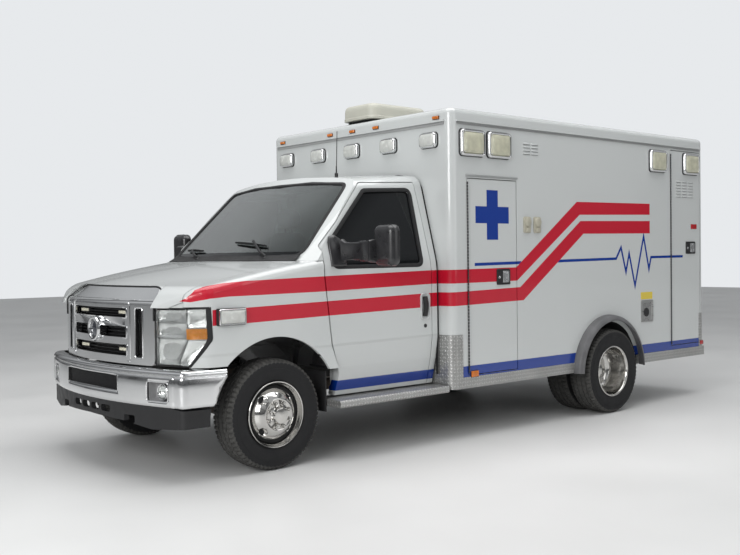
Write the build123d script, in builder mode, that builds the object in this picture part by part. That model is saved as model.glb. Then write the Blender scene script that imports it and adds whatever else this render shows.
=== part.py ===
from build123d import *
import os

os.makedirs("parts", exist_ok=True)

# Driving dimensions in millimetres: stations are measured back from the front axle, heights from the ground
wheelbase = 3505
front_overhang = 866
module_setback = 1525
module_length = 3600
module_width = 2286
module_top = 2540
module_bottom = 480
skirt_bottom = 395
rear_step_reach = 110
rear_end = module_setback + module_length + rear_step_reach
front_axle_y = -(rear_end - front_overhang) / 2
seam = 6
running_gap = 0.05
contact_gap = 0.3

# Wheels
tyre_radius = 372
tyre_width = 225
bead_radius = 212
flange_radius = 224
rim_half_width = 105
front_wheel_x = 881
kingpin_x = 800
rear_twin_x = 969
twin_spacing = 258
front_spindle_radius = 30
rear_spindle_radius = 45

# Module
module_half = module_width / 2
module_rear = module_setback + module_length
wall = 50
roof_thickness = 60
corner_radius = 60
roof_edge_radius = 45
floor_height = 760
floor_thickness = 40
drip_rail_height = module_top - 106

# Cab
cab_front = 110
cab_rear = module_setback - 25
cab_half = 1008
cab_bottom = 440
cab_wall = 60
belt_height = 1260
cowl_height = 1392
roof_height = 2085
cab_floor_height = 740
firewall_station = 300
hinge_station = 411
door_rear_station = cab_rear - 60
hinge_x = cab_half + 5

# Nose
header_tip = -661
header_height = cowl_height - 149
hood_half = 880
hood_bow_radius = 3000
skin = 25
arch_radius = 520
grille_half = 660
grille_tip = -800
grille_bow_radius = 2600
grille_bottom = 730
grille_bend = header_height - 102
bumper_top = 722

# Frame
rail_x = 432
rail_top = 680
rail_height = 180
rail_flange = 60
rail_wall = 8


# Planes: side views look along X, front views along Y, plan views from above
side_view = Plane(origin=(0, front_axle_y, 0), x_dir=(0, 1, 0), z_dir=(1, 0, 0))
plan_view = Plane(origin=(0, front_axle_y, 0), x_dir=(1, 0, 0), z_dir=(0, 0, 1))
front_view = Plane(origin=(0, front_axle_y, 0), x_dir=(1, 0, 0), z_dir=(0, -1, 0))


def across_at(station):
    """A front view placed at a station."""
    return front_view.offset(-station)


def block(xs, stations, heights, mode=Mode.ADD):
    """A box given by its two ends along X, along the vehicle and in height."""
    centre = (sum(xs) / 2, front_axle_y + sum(stations) / 2, sum(heights) / 2)
    with Locations(centre):
        Box(abs(xs[1] - xs[0]), abs(stations[1] - stations[0]), abs(heights[1] - heights[0]), mode=mode)


def finish(builder, name):
    """Labels a piece and writes it."""
    builder.part.label = name
    export_step(builder.part, f"parts/{name}.step")


# Tyres and rims
def axle_line(station):
    """The line through a pair of wheels."""
    return Axis((0, front_axle_y + station, tyre_radius), (1, 0, 0))


def wheel_plane(station, x):
    """Sections of a wheel: across the tyre is local X, outward from the axle is local Y."""
    return Plane(origin=(x, front_axle_y + station, tyre_radius), x_dir=(1, 0, 0), z_dir=(0, -1, 0))


def tyre(station, x):
    """One tyre, its flanks bulging between bead and shoulder."""
    half = tyre_width / 2
    tread_half = 0.78 * half
    with BuildPart(mode=Mode.PRIVATE) as ring:
        with BuildSketch(wheel_plane(station, x)):
            with BuildLine():
                Polyline((0, bead_radius), (0.84 * half, bead_radius), (0.84 * half, flange_radius + 2))
                ThreePointArc(
                    (0.84 * half, flange_radius + 2),
                    (half, (bead_radius + tyre_radius) / 2 - 8),
                    (0.93 * half, tyre_radius - 22),
                )
                Line((0.93 * half, tyre_radius - 22), (tread_half, tyre_radius - 4))
                Line((tread_half, tyre_radius - 4), (0, tyre_radius))
                mirror(about=Plane.YZ)
            make_face()
        revolve(axis=axle_line(station))
    return ring.part


def turned(station, x, outward, points):
    """A piece turned about its axle from (distance outward, radius) points."""
    with BuildPart(mode=Mode.PRIVATE) as piece:
        with BuildSketch(wheel_plane(station, x)):
            with BuildLine():
                Polyline(*((outward * along, radius) for along, radius in points), close=True)
            make_face()
        revolve(axis=axle_line(station))
    return piece.part


# (distance outward from the wheel's centre, radius)
front_rim_outline = (
    (-rim_half_width, flange_radius),
    (-rim_half_width + 8, bead_radius),
    (rim_half_width - 8, bead_radius),
    (rim_half_width, flange_radius),
    (rim_half_width, 206),
    (72, 196),
    (100, 122),
    (104, 62),
    (134, 50),
    (134, 0),
    (98, 0),
    (98, front_spindle_radius + running_gap),
    (-8, front_spindle_radius + running_gap),
    (-8, 62),
    (84, 62),
    (88, 112),
    (58, 196),
    (-rim_half_width, 206),
)
twin_half = twin_spacing / 2
# (distance outward from the middle between the twins, radius)
rear_rim_outline = (
    (108, 0),
    (102, 58),
    (12, 64),
    (14, 150),
    (40, 196),
    (twin_half + rim_half_width, 206),
    (twin_half + rim_half_width, flange_radius),
    (twin_half + rim_half_width - 8, bead_radius),
    (twin_half - rim_half_width + 8, bead_radius),
    (twin_half - rim_half_width, flange_radius),
    (0, 190),
    (rim_half_width - twin_half, flange_radius),
    (rim_half_width - twin_half - 8, bead_radius),
    (-twin_half - rim_half_width + 8, bead_radius),
    (-twin_half - rim_half_width, flange_radius),
    (-twin_half - rim_half_width, 206),
    (-40, 196),
    (-14, 150),
    (-12, 64),
    (-60, 62),
    (-60, rear_spindle_radius + running_gap),
    (70, rear_spindle_radius + running_gap),
    (70, 0),
)
hand_hole_circle = 146
hand_hole_radius = 19
hand_hole_count = 4

for side_name, side in (("left", 1), ("right", -1)):
    with BuildPart() as front_tyre:
        add(tyre(0, side * front_wheel_x))
    finish(front_tyre, f"tyre_front_{side_name}")

    with BuildPart() as front_rim:
        add(turned(0, side * front_wheel_x, side, front_rim_outline))
        with BuildSketch(side_view.offset(side * (front_wheel_x + 40))):
            with Locations((0, tyre_radius)):
                with PolarLocations(hand_hole_circle, hand_hole_count, start_angle=45):
                    Circle(hand_hole_radius)
        extrude(amount=side * 80, mode=Mode.SUBTRACT)
    finish(front_rim, f"rim_front_{side_name}")

    with BuildPart() as rear_tyres:
        for offset_x in (-twin_half, twin_half):
            add(tyre(wheelbase, side * (rear_twin_x + offset_x)))
    finish(rear_tyres, f"tyres_rear_{side_name}")

    with BuildPart() as rear_rims:
        add(turned(wheelbase, side * rear_twin_x, side, rear_rim_outline))
    finish(rear_rims, f"rims_rear_{side_name}")


# Knuckles, each turning about its kingpin between the ears of the axle beam
kingpin_radius = 20
ear_gap = 6
boss_radius = 42
boss_height = 120
spring_x = 486
spring_radius = 48
spring_top = rail_top - 35
arm_reach = 700
for side_name, side in (("left", 1), ("right", -1)):
    with BuildPart() as knuckle:
        pin_top = tyre_radius + boss_height / 2 + ear_gap + 30
        pin_bottom = tyre_radius - boss_height / 2 - ear_gap - 30
        with BuildSketch(plan_view.offset(pin_bottom)):
            with Locations((side * kingpin_x, 0)):
                Circle(kingpin_radius)
        extrude(amount=pin_top - pin_bottom)
        for ear_bottom in (pin_bottom, pin_top - 30):
            with BuildSketch(plan_view.offset(ear_bottom)):
                with Locations((side * kingpin_x, 0)):
                    Circle(boss_radius)
                with Locations((side * (kingpin_x + 35), 0)):
                    Rectangle(50, 2 * boss_radius)
            extrude(amount=30)
        spine = (side * (kingpin_x + boss_radius + 6), side * (kingpin_x + boss_radius + 26))
        block(spine, (-boss_radius, boss_radius), (pin_bottom, pin_top))
        with BuildSketch(side_view.offset(spine[1])):
            with Locations((0, tyre_radius)):
                Circle(front_spindle_radius)
        extrude(amount=side * (front_wheel_x + 94 - abs(spine[1])))
    finish(knuckle, f"knuckle_{side_name}")

with BuildPart() as front_axle:
    beam_end = kingpin_x - boss_radius + 12
    with BuildSketch(across_at(35)):
        with BuildLine():
            beam_low = ((0, -72), (520, -76), (beam_end, -42))
            beam_high = ((beam_end, 42), (520, 4), (0, 8))
            Polyline(*((x, tyre_radius + rise) for x, rise in (*beam_low, *beam_high)))
            mirror(about=Plane.YZ)
        make_face()
    extrude(amount=70)
    for side in (1, -1):
        with BuildSketch(plan_view.offset(tyre_radius - boss_height / 2)):
            with Locations((side * kingpin_x, 0)):
                Circle(boss_radius)
        extrude(amount=boss_height)
    for side in (1, -1):
        with BuildSketch(plan_view.offset(tyre_radius - boss_height / 2)):
            with Locations((side * kingpin_x, 0)):
                Circle(kingpin_radius + running_gap)
        extrude(amount=boss_height, mode=Mode.SUBTRACT)
        with BuildSketch(plan_view.offset(tyre_radius - 7)):
            with Locations((side * spring_x, 0)):
                Circle(spring_radius)
        extrude(amount=spring_top - tyre_radius + 7)
        arm_heights = (tyre_radius - 50, tyre_radius)
        block((side * 440, side * 500), (30, arm_reach), arm_heights)
        hanger_heights = (arm_heights[0], rail_top - rail_height)
        block((side * 440, side * 500), (arm_reach - 40, arm_reach), hanger_heights)
finish(front_axle, "front_axle")

# Rear axle with its drive shaft, carried on leaf springs
differential_radius = 165
axle_tube_radius = 55
spring_pad_x = 540
shaft_radius = 48
engine_stations = (-330, 640)
with BuildPart() as rear_axle:
    axle_section = (
        (-rear_twin_x - 66, 0),
        (-rear_twin_x - 66, rear_spindle_radius),
        (-680, rear_spindle_radius),
        (-680, axle_tube_radius),
        (-190, axle_tube_radius + 12),
        (-80, differential_radius),
        (80, differential_radius),
        (190, axle_tube_radius + 12),
        (680, axle_tube_radius),
        (680, rear_spindle_radius),
        (rear_twin_x + 66, rear_spindle_radius),
        (rear_twin_x + 66, 0),
    )
    add(turned(wheelbase, 0, 1, axle_section))
    with BuildSketch(across_at(wheelbase - 100)):
        with Locations((0, tyre_radius)):
            Circle(shaft_radius)
    extrude(amount=wheelbase - 100 - engine_stations[1] + 20)
finish(rear_axle, "rear_axle")

spring_half_length = 640
spring_width = 70
spring_eye_height = 560
with BuildPart() as rear_springs:
    for side in (1, -1):
        with BuildSketch(side_view.offset(side * spring_pad_x - spring_width / 2)):
            with BuildLine():
                seat = tyre_radius + axle_tube_radius + 8
                front_eye = (wheelbase - spring_half_length, spring_eye_height)
                rear_eye = (wheelbase + spring_half_length, spring_eye_height)
                leaf_top = spring_eye_height + 30
                ThreePointArc(front_eye, (wheelbase, seat), rear_eye)
                Line(rear_eye, (rear_eye[0], leaf_top))
                ThreePointArc((rear_eye[0], leaf_top), (wheelbase, seat + 62), (front_eye[0], leaf_top))
                Line((front_eye[0], leaf_top), front_eye)
            make_face()
        extrude(amount=spring_width)
        for eye in (front_eye, rear_eye):
            hanger = (side * (rail_x + 0.5), side * (spring_pad_x + spring_width / 2))
            hanger_heights = (spring_eye_height - 15, rail_top - 40)
            block(hanger, (eye[0] - 40, eye[0] + 40), hanger_heights)
finish(rear_springs, "rear_springs")

# Ladder frame: two channel rails, open inward, with cross members
rail_front = -700
rail_rear = module_rear - 60
cross_members = (
    rail_front + 100,
    cab_rear - 250,
    module_setback + 525,
    wheelbase - 605,
    wheelbase + 575,
    rail_rear - 85,
)
with BuildPart() as frame_rails:
    for side in (1, -1):
        outer = side * rail_x
        inner = side * (rail_x - rail_flange)
        web = side * (rail_x - rail_wall)
        block((web, outer), (rail_front, rail_rear), (rail_top - rail_height, rail_top))
        for flange_bottom in (rail_top - rail_wall, rail_top - rail_height):
            block((inner, outer), (rail_front, rail_rear), (flange_bottom, flange_bottom + rail_wall))
    for station in cross_members:
        member = (rail_top - rail_height + rail_wall, rail_top - rail_wall)
        block((rail_wall - rail_x, rail_x - rail_wall), (station - 35, station + 35), member)
    for side in (1, -1):
        tower = (side * (rail_x - 4), side * (spring_x + spring_radius))
        block(tower, (-60, 60), (spring_top + 1, rail_top))
finish(frame_rails, "frame_rails")

with BuildPart() as engine_block:
    block((-290, 290), engine_stations, (560, 1080))
    chamfer(engine_block.edges().filter_by(Axis.Y), 60)
finish(engine_block, "engine_block")

with BuildPart() as fuel_tank:
    block((-350, 350), (wheelbase + 645, wheelbase + 1395), (390, rail_top - 20))
    fillet(fuel_tank.edges().filter_by(Axis.X), 40)
finish(fuel_tank, "fuel_tank")

pipe_radius = 32
pipe_x = -250
pipe_height = 430
outlet_height = 350
silencer_length = 650
with BuildPart() as exhaust_pipe:
    with BuildLine() as route:
        FilletPolyline(
            (pipe_x, front_axle_y + 700, pipe_height),
            (pipe_x, front_axle_y + wheelbase - 1155, pipe_height),
            (-560, front_axle_y + wheelbase - 885, outlet_height),
            (-module_half + 23, front_axle_y + wheelbase - 745, outlet_height),
            radius=120,
        )
    with BuildSketch(Plane(route.line @ 0, z_dir=route.line % 0)):
        Circle(pipe_radius)
    sweep(path=route.line)
    with BuildSketch(across_at(wheelbase - 1455)):
        with Locations((pipe_x, pipe_height)):
            SlotOverall(260, 150)
    extrude(amount=silencer_length)
finish(exhaust_pipe, "exhaust_pipe")


# Cab: two sections seen from the front, joined by a loft, with the windshield's slope cut across them
# (station, height of the roof at its middle)
cab_sections = ((cab_front, roof_height - 100), (cab_rear, roof_height))
glass_base = (310, cowl_height + 23)
glass_top = (869, roof_height - 121)
glass_bow = 125
glass_half = 880
glass_low = cowl_height + 38
glass_high = roof_height - 133
glass_crown = (380, glass_high + 25)
glass_outline = (
    (-862, glass_low),
    (-750, glass_high),
    (-glass_crown[0], glass_crown[1]),
    glass_crown,
    (750, glass_high),
    (862, glass_low),
)
glass_corner_radii = (60, 60, 900, 900, 60, 60)
glass_rise = Vector(0, glass_top[0] - glass_base[0], glass_top[1] - glass_base[1]).normalized()


def cab_solid(inset):
    """The cab's whole body, drawn in by the inset."""
    with BuildPart(mode=Mode.PRIVATE) as solid:
        for station, roof in cab_sections:
            shoulder = (842 - inset, roof - 132)
            edge = (750 - 0.4 * inset, roof - 44 - inset)
            with BuildSketch(across_at(station)):
                with BuildLine():
                    Polyline(
                        (0, cab_bottom + inset),
                        (940 - inset, cab_bottom + inset),
                        (985 - inset, 640),
                        (cab_half - inset, 800),
                        (cab_half - inset, belt_height),
                    )
                    waist = (978 - inset, 1450)
                    ThreePointArc((cab_half - inset, belt_height), (1000 - inset, 1360), waist)
                    Line(waist, shoulder)
                    ThreePointArc(shoulder, (812 - 0.8 * inset, roof - 78 - 0.6 * inset), edge)
                    ThreePointArc(edge, (400, roof - 12 - inset), (0, roof - inset))
                    mirror(about=Plane.YZ)
                make_face()
        loft(ruled=True)
    return solid.part


def ahead_of_glass(shift):
    """Everything ahead of the windshield's face, moved back by the shift."""
    with BuildPart(mode=Mode.PRIVATE) as zone:
        with BuildSketch(plan_view.offset(glass_base[1])):
            with BuildLine():
                corner = (glass_half, glass_base[0] + shift)
                middle = (0, glass_base[0] - glass_bow + shift)
                far = (glass_half + 500, glass_base[0] + shift + 320)
                other_corner = (-corner[0], corner[1])
                ThreePointArc(other_corner, middle, corner)
                Polyline(corner, far, (far[0], -1200), (-far[0], -1200), (-far[0], far[1]), other_corner)
            make_face()
        extrude(amount=900, dir=glass_rise, both=True)
    return zone.part


def side_prism(points, radius, from_x=500, to_x=1500):
    """A closed outline seen from the side, as a prism on the left of the vehicle."""
    with BuildPart(mode=Mode.PRIVATE) as prism:
        with BuildSketch(side_view.offset(from_x)):
            with BuildLine():
                FilletPolyline(*points, radius=radius, close=True)
            make_face()
        extrude(amount=to_x - from_x)
    return prism.part


def front_prism(points, radius, stations):
    """A closed outline seen from the front, as a prism along the vehicle."""
    with BuildPart(mode=Mode.PRIVATE) as prism:
        with BuildSketch(across_at(stations[1])):
            with BuildLine():
                FilletPolyline(*points, radius=radius, close=True)
            make_face()
        extrude(amount=stations[1] - stations[0])
    return prism.part


cab_outer = cab_solid(0)
cab_inner = cab_solid(cab_wall)
glass_zone = ahead_of_glass(0)
pillar_zone = ahead_of_glass(cab_wall)

# The door's outline seen from the side: (station, height)
door_outline = (
    (520, cab_bottom - 60),
    (548, 590),
    (470, 800),
    (hinge_station, cowl_height - 102),
    (hinge_station + 2, cowl_height + 98),
    (880, roof_height - 120),
    (door_rear_station + 40, roof_height - 95),
    (door_rear_station + 40, cab_bottom - 60),
)
door_corner_radii = (0, 60, 120, 120, 60, 60, 0, 0)
window_outline = (
    (500, cowl_height - 42),
    (502, cowl_height + 128),
    (900, roof_height - 185),
    (door_rear_station - 78, roof_height - 165),
    (door_rear_station - 92, cowl_height - 40),
)
window_corner_radii = (25, 40, 45, 60, 40)


def door_swing(reach):
    """The upright cylinder about the door's hinge line that its free edge follows."""
    with BuildPart(mode=Mode.PRIVATE) as swing:
        with BuildSketch(plan_view):
            with Locations((hinge_x, hinge_station)):
                Circle(reach)
        extrude(amount=roof_height + 100)
    return swing.part


door_reach = door_rear_station - hinge_station
door_opening = side_prism(door_outline, door_corner_radii) & door_swing(door_reach + seam)
fender_rear = [(station + seam / 2, height) for station, height in reversed(door_outline[:4])]
fender_zone = side_prism(
    ((0, cowl_height), (hinge_station + seam, cowl_height), *fender_rear, (520, 300), (0, 300)),
    (0, 0, *reversed(door_corner_radii[:4]), 0, 0),
    from_x=869,
)

# Nose: the hood's side view turned about a far upright line, so that it bows across the vehicle
hood_bow_angle = 80
lamp_top = cowl_height - 287
lamp_bottom = 732
hood_brow = (-820, lamp_top)


def far_line(tip, radius):
    """The upright line about which a bowed face is turned."""
    return Axis((0, front_axle_y + tip + radius, 0), (0, 0, 1))


def bowed(section, tip, radius, angle=40):
    """A section drawn on the side view, turned about its far line to both sides."""
    with BuildPart(mode=Mode.PRIVATE) as solid:
        add(section)
        revolve(axis=far_line(tip, radius), revolution_arc=angle)
    return solid.part.rotate(far_line(tip, radius), -angle / 2)


def cowl_edge(x, ahead=0):
    """A point on the cowl's front edge, which follows the windshield's foot, or some way ahead of it."""
    return (x, glass_base[0] - glass_bow - 62 - ahead + (glass_bow - 7) * (x / 870) ** 2)


def nose_solid(inset):
    """The whole nose under hood and fenders, drawn in by the inset."""
    with BuildSketch(side_view, mode=Mode.PRIVATE) as section:
        with BuildLine():
            brow = (hood_brow[0] + inset, hood_brow[1])
            crown = (header_tip, header_height - 3 - inset)
            shoulder = (header_tip - 98 + 0.7 * inset, header_height - 56 - 0.7 * inset)
            rear = (cab_front + 390, cowl_height + 56 - inset)
            middle = ((crown[0] + rear[0]) / 2, (crown[1] + rear[1]) / 2 + 18)
            Line((cab_rear, lamp_top), brow)
            ThreePointArc(brow, shoulder, crown)
            ThreePointArc(crown, middle, rear)
            Polyline(rear, (cab_rear, rear[1] + 80), (cab_rear, lamp_top))
        make_face()
    return bowed(section.sketch, hood_brow[0], hood_bow_radius, hood_bow_angle)


def grille_zone(gap):
    """Everything ahead of the grille's back, inside its outline drawn out by the gap."""
    half = grille_half + gap
    top = header_height + gap
    with BuildSketch(side_view, mode=Mode.PRIVATE) as section:
        with BuildLine():
            bend = (grille_tip + 110 + gap, grille_bend - 20)
            rear = (header_tip + gap, header_height + gap)
            Polyline((-1100, 600), (bend[0], 600), bend, rear, (rear[0], 1400), (-1100, 1400), close=True)
        make_face()
    with BuildPart(mode=Mode.PRIVATE) as zone:
        add(bowed(section.sketch, grille_tip, grille_bow_radius))
        with BuildSketch(across_at(-300)):
            with BuildLine():
                outline = ((-half, 600), (-half, top), (half, top), (half, 600))
                FilletPolyline(*outline, radius=(0, 110, 110, 0), close=True)
            make_face()
        extrude(amount=900, mode=Mode.INTERSECT)
    return zone.part


# Half of the nose in plan: (half width, station), from the tip's middle to the cowl
nose_plan = (
    (0, -1100),
    (690, -1100),
    (690, -752),
    (905, -620),
    (985, -505),
    (cab_half, -250),
    (cab_half, 640),
    (0, 640),
)


def plan_prism(points, radii, heights):
    """A half outline in plan, mirrored and made upright."""
    with BuildPart(mode=Mode.PRIVATE) as prism:
        with BuildSketch(plan_view.offset(heights[0])):
            with BuildLine():
                FilletPolyline(*points, radius=radii)
                mirror(about=Plane.YZ)
            make_face()
        extrude(amount=heights[1] - heights[0])
    return prism.part


nose_radii = (0, 0, 60, 140, 300, 0)
nose_top = cowl_height + 120
nose_outer = nose_solid(0) & plan_prism(nose_plan, nose_radii, (lamp_top, nose_top))
fender_shoulder_radius = 50
shoulder_edges = []
for edge in nose_outer.edges():
    reach = edge.bounding_box()
    if abs(edge.center().X) > hood_half and reach.min.Z > lamp_top + seam and reach.size.X < 330:
        shoulder_edges.append(edge)
nose_outer = nose_outer.fillet(fender_shoulder_radius, shoulder_edges)
nose_shell = plan_prism(nose_plan, nose_radii, (cab_bottom, nose_top))

with BuildPart() as hood:
    add(nose_outer)
    add(nose_solid(skin), mode=Mode.SUBTRACT)
    with BuildSketch(plan_view.offset(1000)):
        with BuildLine():
            Polyline(cowl_edge(0, 8), (0, -1000), (hood_half, -1000), cowl_edge(hood_half, 8))
            ThreePointArc(cowl_edge(hood_half, 8), cowl_edge(hood_half / 2, 8), cowl_edge(0, 8))
        make_face()
        mirror(about=Plane.YZ)
    extrude(amount=500, mode=Mode.INTERSECT)
    add(grille_zone(seam), mode=Mode.SUBTRACT)
finish(hood, "hood")

# Fenders: the nose's flanks with their arches, and the wheelhouses behind them
wheelhouse_inner_x = 540
wheelhouse_wall = 15
fender_bottom = bumper_top + 4
# The headlamp's rear edge seen from the side: (station, height)
lamp_rear_line = ((-600, fender_bottom), (-478, 904), (-488, lamp_top + seam))
with BuildPart() as front_fenders:
    with BuildPart(mode=Mode.PRIVATE) as flank:
        add(nose_shell)
        block((-1200, 1200), (-900, 700), (lamp_top, nose_top), mode=Mode.SUBTRACT)
        add(nose_outer)
        with BuildPart(mode=Mode.PRIVATE) as hollow:
            inner_plan = tuple((x - skin if x else 0, s) for x, s in nose_plan)
            add(plan_prism(inner_plan, nose_radii, (300, lamp_top)))
            add(nose_solid(skin) & plan_prism(inner_plan, nose_radii, (lamp_top, nose_top)))
        add(hollow.part, mode=Mode.SUBTRACT)
    with BuildPart(mode=Mode.PRIVATE) as fender:
        add(flank.part)
        with BuildSketch(side_view.offset(hood_half + seam)):
            with BuildLine():
                door_edge = [(station - seam, height) for station, height in door_outline[1:4]]
                Polyline(
                    (-1000, lamp_top + seam),
                    *reversed(lamp_rear_line),
                    (-300, fender_bottom),
                    (-300, cab_bottom),
                    (520 - seam, cab_bottom),
                    *door_edge,
                    (hinge_station - seam, cowl_height),
                    (-1000, cowl_height),
                    close=True,
                )
            make_face()
        extrude(amount=300, mode=Mode.INTERSECT)
        with BuildSketch(side_view.offset(wheelhouse_inner_x)):
            with Locations((0, tyre_radius)):
                Circle(arch_radius + wheelhouse_wall)
        extrude(amount=cab_half - skin / 2 - wheelhouse_inner_x)
        block((wheelhouse_inner_x, 1200), (0, 700), (-300, 640), mode=Mode.SUBTRACT)
        block((wheelhouse_inner_x, 1200), (-700, 0), (-300, fender_bottom), mode=Mode.SUBTRACT)
        with BuildSketch(side_view.offset(wheelhouse_inner_x + wheelhouse_wall)):
            with Locations((0, tyre_radius)):
                Circle(arch_radius)
        extrude(amount=600, mode=Mode.SUBTRACT)
    add(fender.part)
    mirror(fender.part, about=Plane.YZ)
finish(front_fenders, "front_fenders")

with BuildPart() as cab_shell:
    add(cab_outer)
    add(glass_zone, mode=Mode.SUBTRACT)
    with BuildPart(mode=Mode.PRIVATE) as room:
        add(cab_inner)
        add(pillar_zone, mode=Mode.SUBTRACT)
    add(room.part, mode=Mode.SUBTRACT)
    add(fender_zone, mode=Mode.SUBTRACT)
    mirror(fender_zone, about=Plane.YZ, mode=Mode.SUBTRACT)
    block((-870, 870), (0, hinge_station + 160), (300, cowl_height), mode=Mode.SUBTRACT)
    block((-870, 870), (0, cab_rear + 100), (300, rail_top + 10), mode=Mode.SUBTRACT)
    add(front_prism(glass_outline, glass_corner_radii, (100, 1050)), mode=Mode.SUBTRACT)
    add(door_opening, mode=Mode.SUBTRACT)
    mirror(door_opening, about=Plane.YZ, mode=Mode.SUBTRACT)
    block((-870, 870), (firewall_station, firewall_station + 20), (930, cowl_height))
    block((-500, 500), (firewall_station, firewall_station + 20), (cab_floor_height, 930))
    block((-500, 500), (firewall_station, cab_rear), (cab_floor_height - 40, cab_floor_height))
    block((-869, 869), (580, cab_rear), (cab_floor_height - 40, cab_floor_height))
    for side in (1, -1):
        block((side * 835, side * 869), (580, cab_rear), (cab_bottom, cab_floor_height))
        block((side * 868, side * 905), (door_rear_station + 10, cab_rear), (cab_bottom, cab_floor_height))
        block((side * 850, side * 884), (330, 420), (940, cowl_height + 40))
    with BuildSketch(plan_view.offset(cowl_height - 52)):
        with BuildLine():
            ThreePointArc(cowl_edge(-870), cowl_edge(0), cowl_edge(870))
            Polyline(cowl_edge(870), (870, 420), (-870, 420), cowl_edge(-870))
        make_face()
    extrude(amount=52)
    block((-312, 312), (firewall_station - 10, 890), (600, 1100), mode=Mode.SUBTRACT)
finish(cab_shell, "cab_shell")

with BuildPart() as windshield:
    with BuildSketch(plan_view.offset(glass_base[1])):
        with BuildLine():
            for shift in (6, 14):
                edge_station = glass_base[0] + shift
                middle = (0, edge_station - glass_bow)
                ThreePointArc((-glass_half, edge_station), middle, (glass_half, edge_station))
            for x in (-glass_half, glass_half):
                Line((x, glass_base[0] + 6), (x, glass_base[0] + 14))
        make_face()
    extrude(amount=900, dir=glass_rise, both=True)
    add(front_prism(glass_outline, glass_corner_radii, (100, 1050)), mode=Mode.INTERSECT)
finish(windshield, "windshield")

# Cab doors, drawn in by the seam from their openings, with glass and mirrors
door_panel = (cab_outer - cab_inner) & side_prism(door_outline, door_corner_radii) & door_swing(door_reach)
window_prism = side_prism(window_outline, window_corner_radii)
window_glass = (cab_solid(12) - cab_solid(17)) & window_prism
with BuildPart(mode=Mode.PRIVATE) as door_seams:
    with BuildSketch(side_view.offset(500)):
        with BuildLine():
            FilletPolyline(*door_outline, radius=door_corner_radii, close=True)
        make_face()
        offset(amount=-seam, mode=Mode.REPLACE)
    extrude(amount=1000)
    block((400, 872), (400, 1600), (300, 900), mode=Mode.SUBTRACT)
door_panel = door_panel & door_seams.part

mirror_head = ((1262, 1468), (618, 706), (1350, 1632))
mirror_arm = ((1000, 1290), (556, 596), (1380, 1530))
with BuildPart(mode=Mode.PRIVATE) as mirror_piece:
    block(*mirror_head)
    fillet(mirror_piece.edges().filter_by(Axis.Z), 26)
    fillet(mirror_piece.faces().filter_by(Axis.Z).edges(), 16)
    block(*mirror_arm)
    block((1262, 1290), (556, 640), mirror_arm[2])
    block((960, 1014), (470, 610), (1352, 1560))
    add(cab_outer, mode=Mode.SUBTRACT)

for side_name, side in (("left", 1), ("right", -1)):
    door_part = door_panel - window_prism
    pieces = {
        f"cab_door_{side_name}": door_part,
        f"door_glass_{side_name}": window_glass,
        f"mirror_{side_name}": mirror_piece.part,
    }
    for name, piece in pieces.items():
        with BuildPart() as cab_piece:
            add(piece if side == 1 else mirror(piece, about=Plane.YZ, mode=Mode.PRIVATE))
        finish(cab_piece, name)

wheel_face = Plane(origin=(530, front_axle_y + 740, 1300), z_dir=(0, 0.85, 0.53))
with BuildPart() as dashboard:
    block((-840, 840), (340, 620), (1080, cowl_height - 62))
    fillet(dashboard.edges().filter_by(Axis.X), 40)
    block((-330, 330), (330, 900), (cab_floor_height, 1100))
    block((-300, 300), (300, 870), (cab_floor_height - 20, 1086), mode=Mode.SUBTRACT)
    with BuildSketch(wheel_face):
        Circle(195)
        Circle(168, mode=Mode.SUBTRACT)
        Rectangle(345, 34)
        Circle(60)
    extrude(amount=30)
    with BuildSketch(wheel_face):
        Circle(32)
    extrude(amount=-200)
finish(dashboard, "dashboard")

seat_x = 565
seat_half = 225
seat_rear = cab_rear - 170
cushion_top = cab_floor_height + 360
with BuildPart() as cab_seats:
    with BuildPart(mode=Mode.PRIVATE) as seat:
        cushion_front = seat_rear - 540
        with BuildSketch(side_view.offset(seat_x - seat_half)):
            with BuildLine():
                FilletPolyline(
                    (cushion_front, cushion_top - 140),
                    (cushion_front, cushion_top),
                    (seat_rear - 160, cushion_top - 30),
                    (seat_rear - 130, cushion_top + 540),
                    (seat_rear - 10, cushion_top + 540),
                    (seat_rear, cushion_top - 140),
                    radius=(40, 30, 40, 40),
                )
                Line((seat_rear, cushion_top - 140), (cushion_front, cushion_top - 140))
            make_face()
        extrude(amount=2 * seat_half)
        base_xs = (seat_x - 190, seat_x + 190)
        block(base_xs, (cushion_front + 40, seat_rear - 100), (cab_floor_height, cushion_top - 140))
        rest_heights = (cushion_top + 530, cushion_top + 730)
        block((seat_x - 130, seat_x + 130), (seat_rear - 125, seat_rear - 20), rest_heights)
    add(seat.part)
    mirror(seat.part, about=Plane.YZ)
finish(cab_seats, "cab_seats")

# Front end: the grille is a section turned about its far line, its header bent back to the hood
grille_depth = 42
opening_half = 385
# Openings' heights as shares of the face between the grille's foot and its bend: (bottom, top)
grille_face = grille_bend - grille_bottom
wide_opening_shares = ((0.127, 0.304), (0.421, 0.596), (0.745, 0.891))
tall_opening_shares = (0.114, 0.893)
wide_openings = [[grille_bottom + share * grille_face for share in pair] for pair in wide_opening_shares]
tall_opening = ((485, 550), [grille_bottom + share * grille_face for share in tall_opening_shares])
with BuildSketch(side_view, mode=Mode.PRIVATE) as grille_section:
    with BuildLine():
        front_foot = (grille_tip, grille_bottom)
        front_bend = (grille_tip, grille_bend - 22)
        slant_foot = (grille_tip + 34, grille_bend + 16)
        slant_top = (header_tip - 3, header_height - 7)
        back_top = (header_tip - 3, header_height - 7 - grille_depth)
        back_bend = (grille_tip + grille_depth, grille_bend - 22)
        back_foot = (grille_tip + grille_depth, grille_bottom)
        Line(front_foot, front_bend)
        ThreePointArc(front_bend, (grille_tip + 9, grille_bend + 1), slant_foot)
        Polyline(slant_foot, slant_top, back_top, back_bend, back_foot, front_foot)
    make_face()
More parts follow.
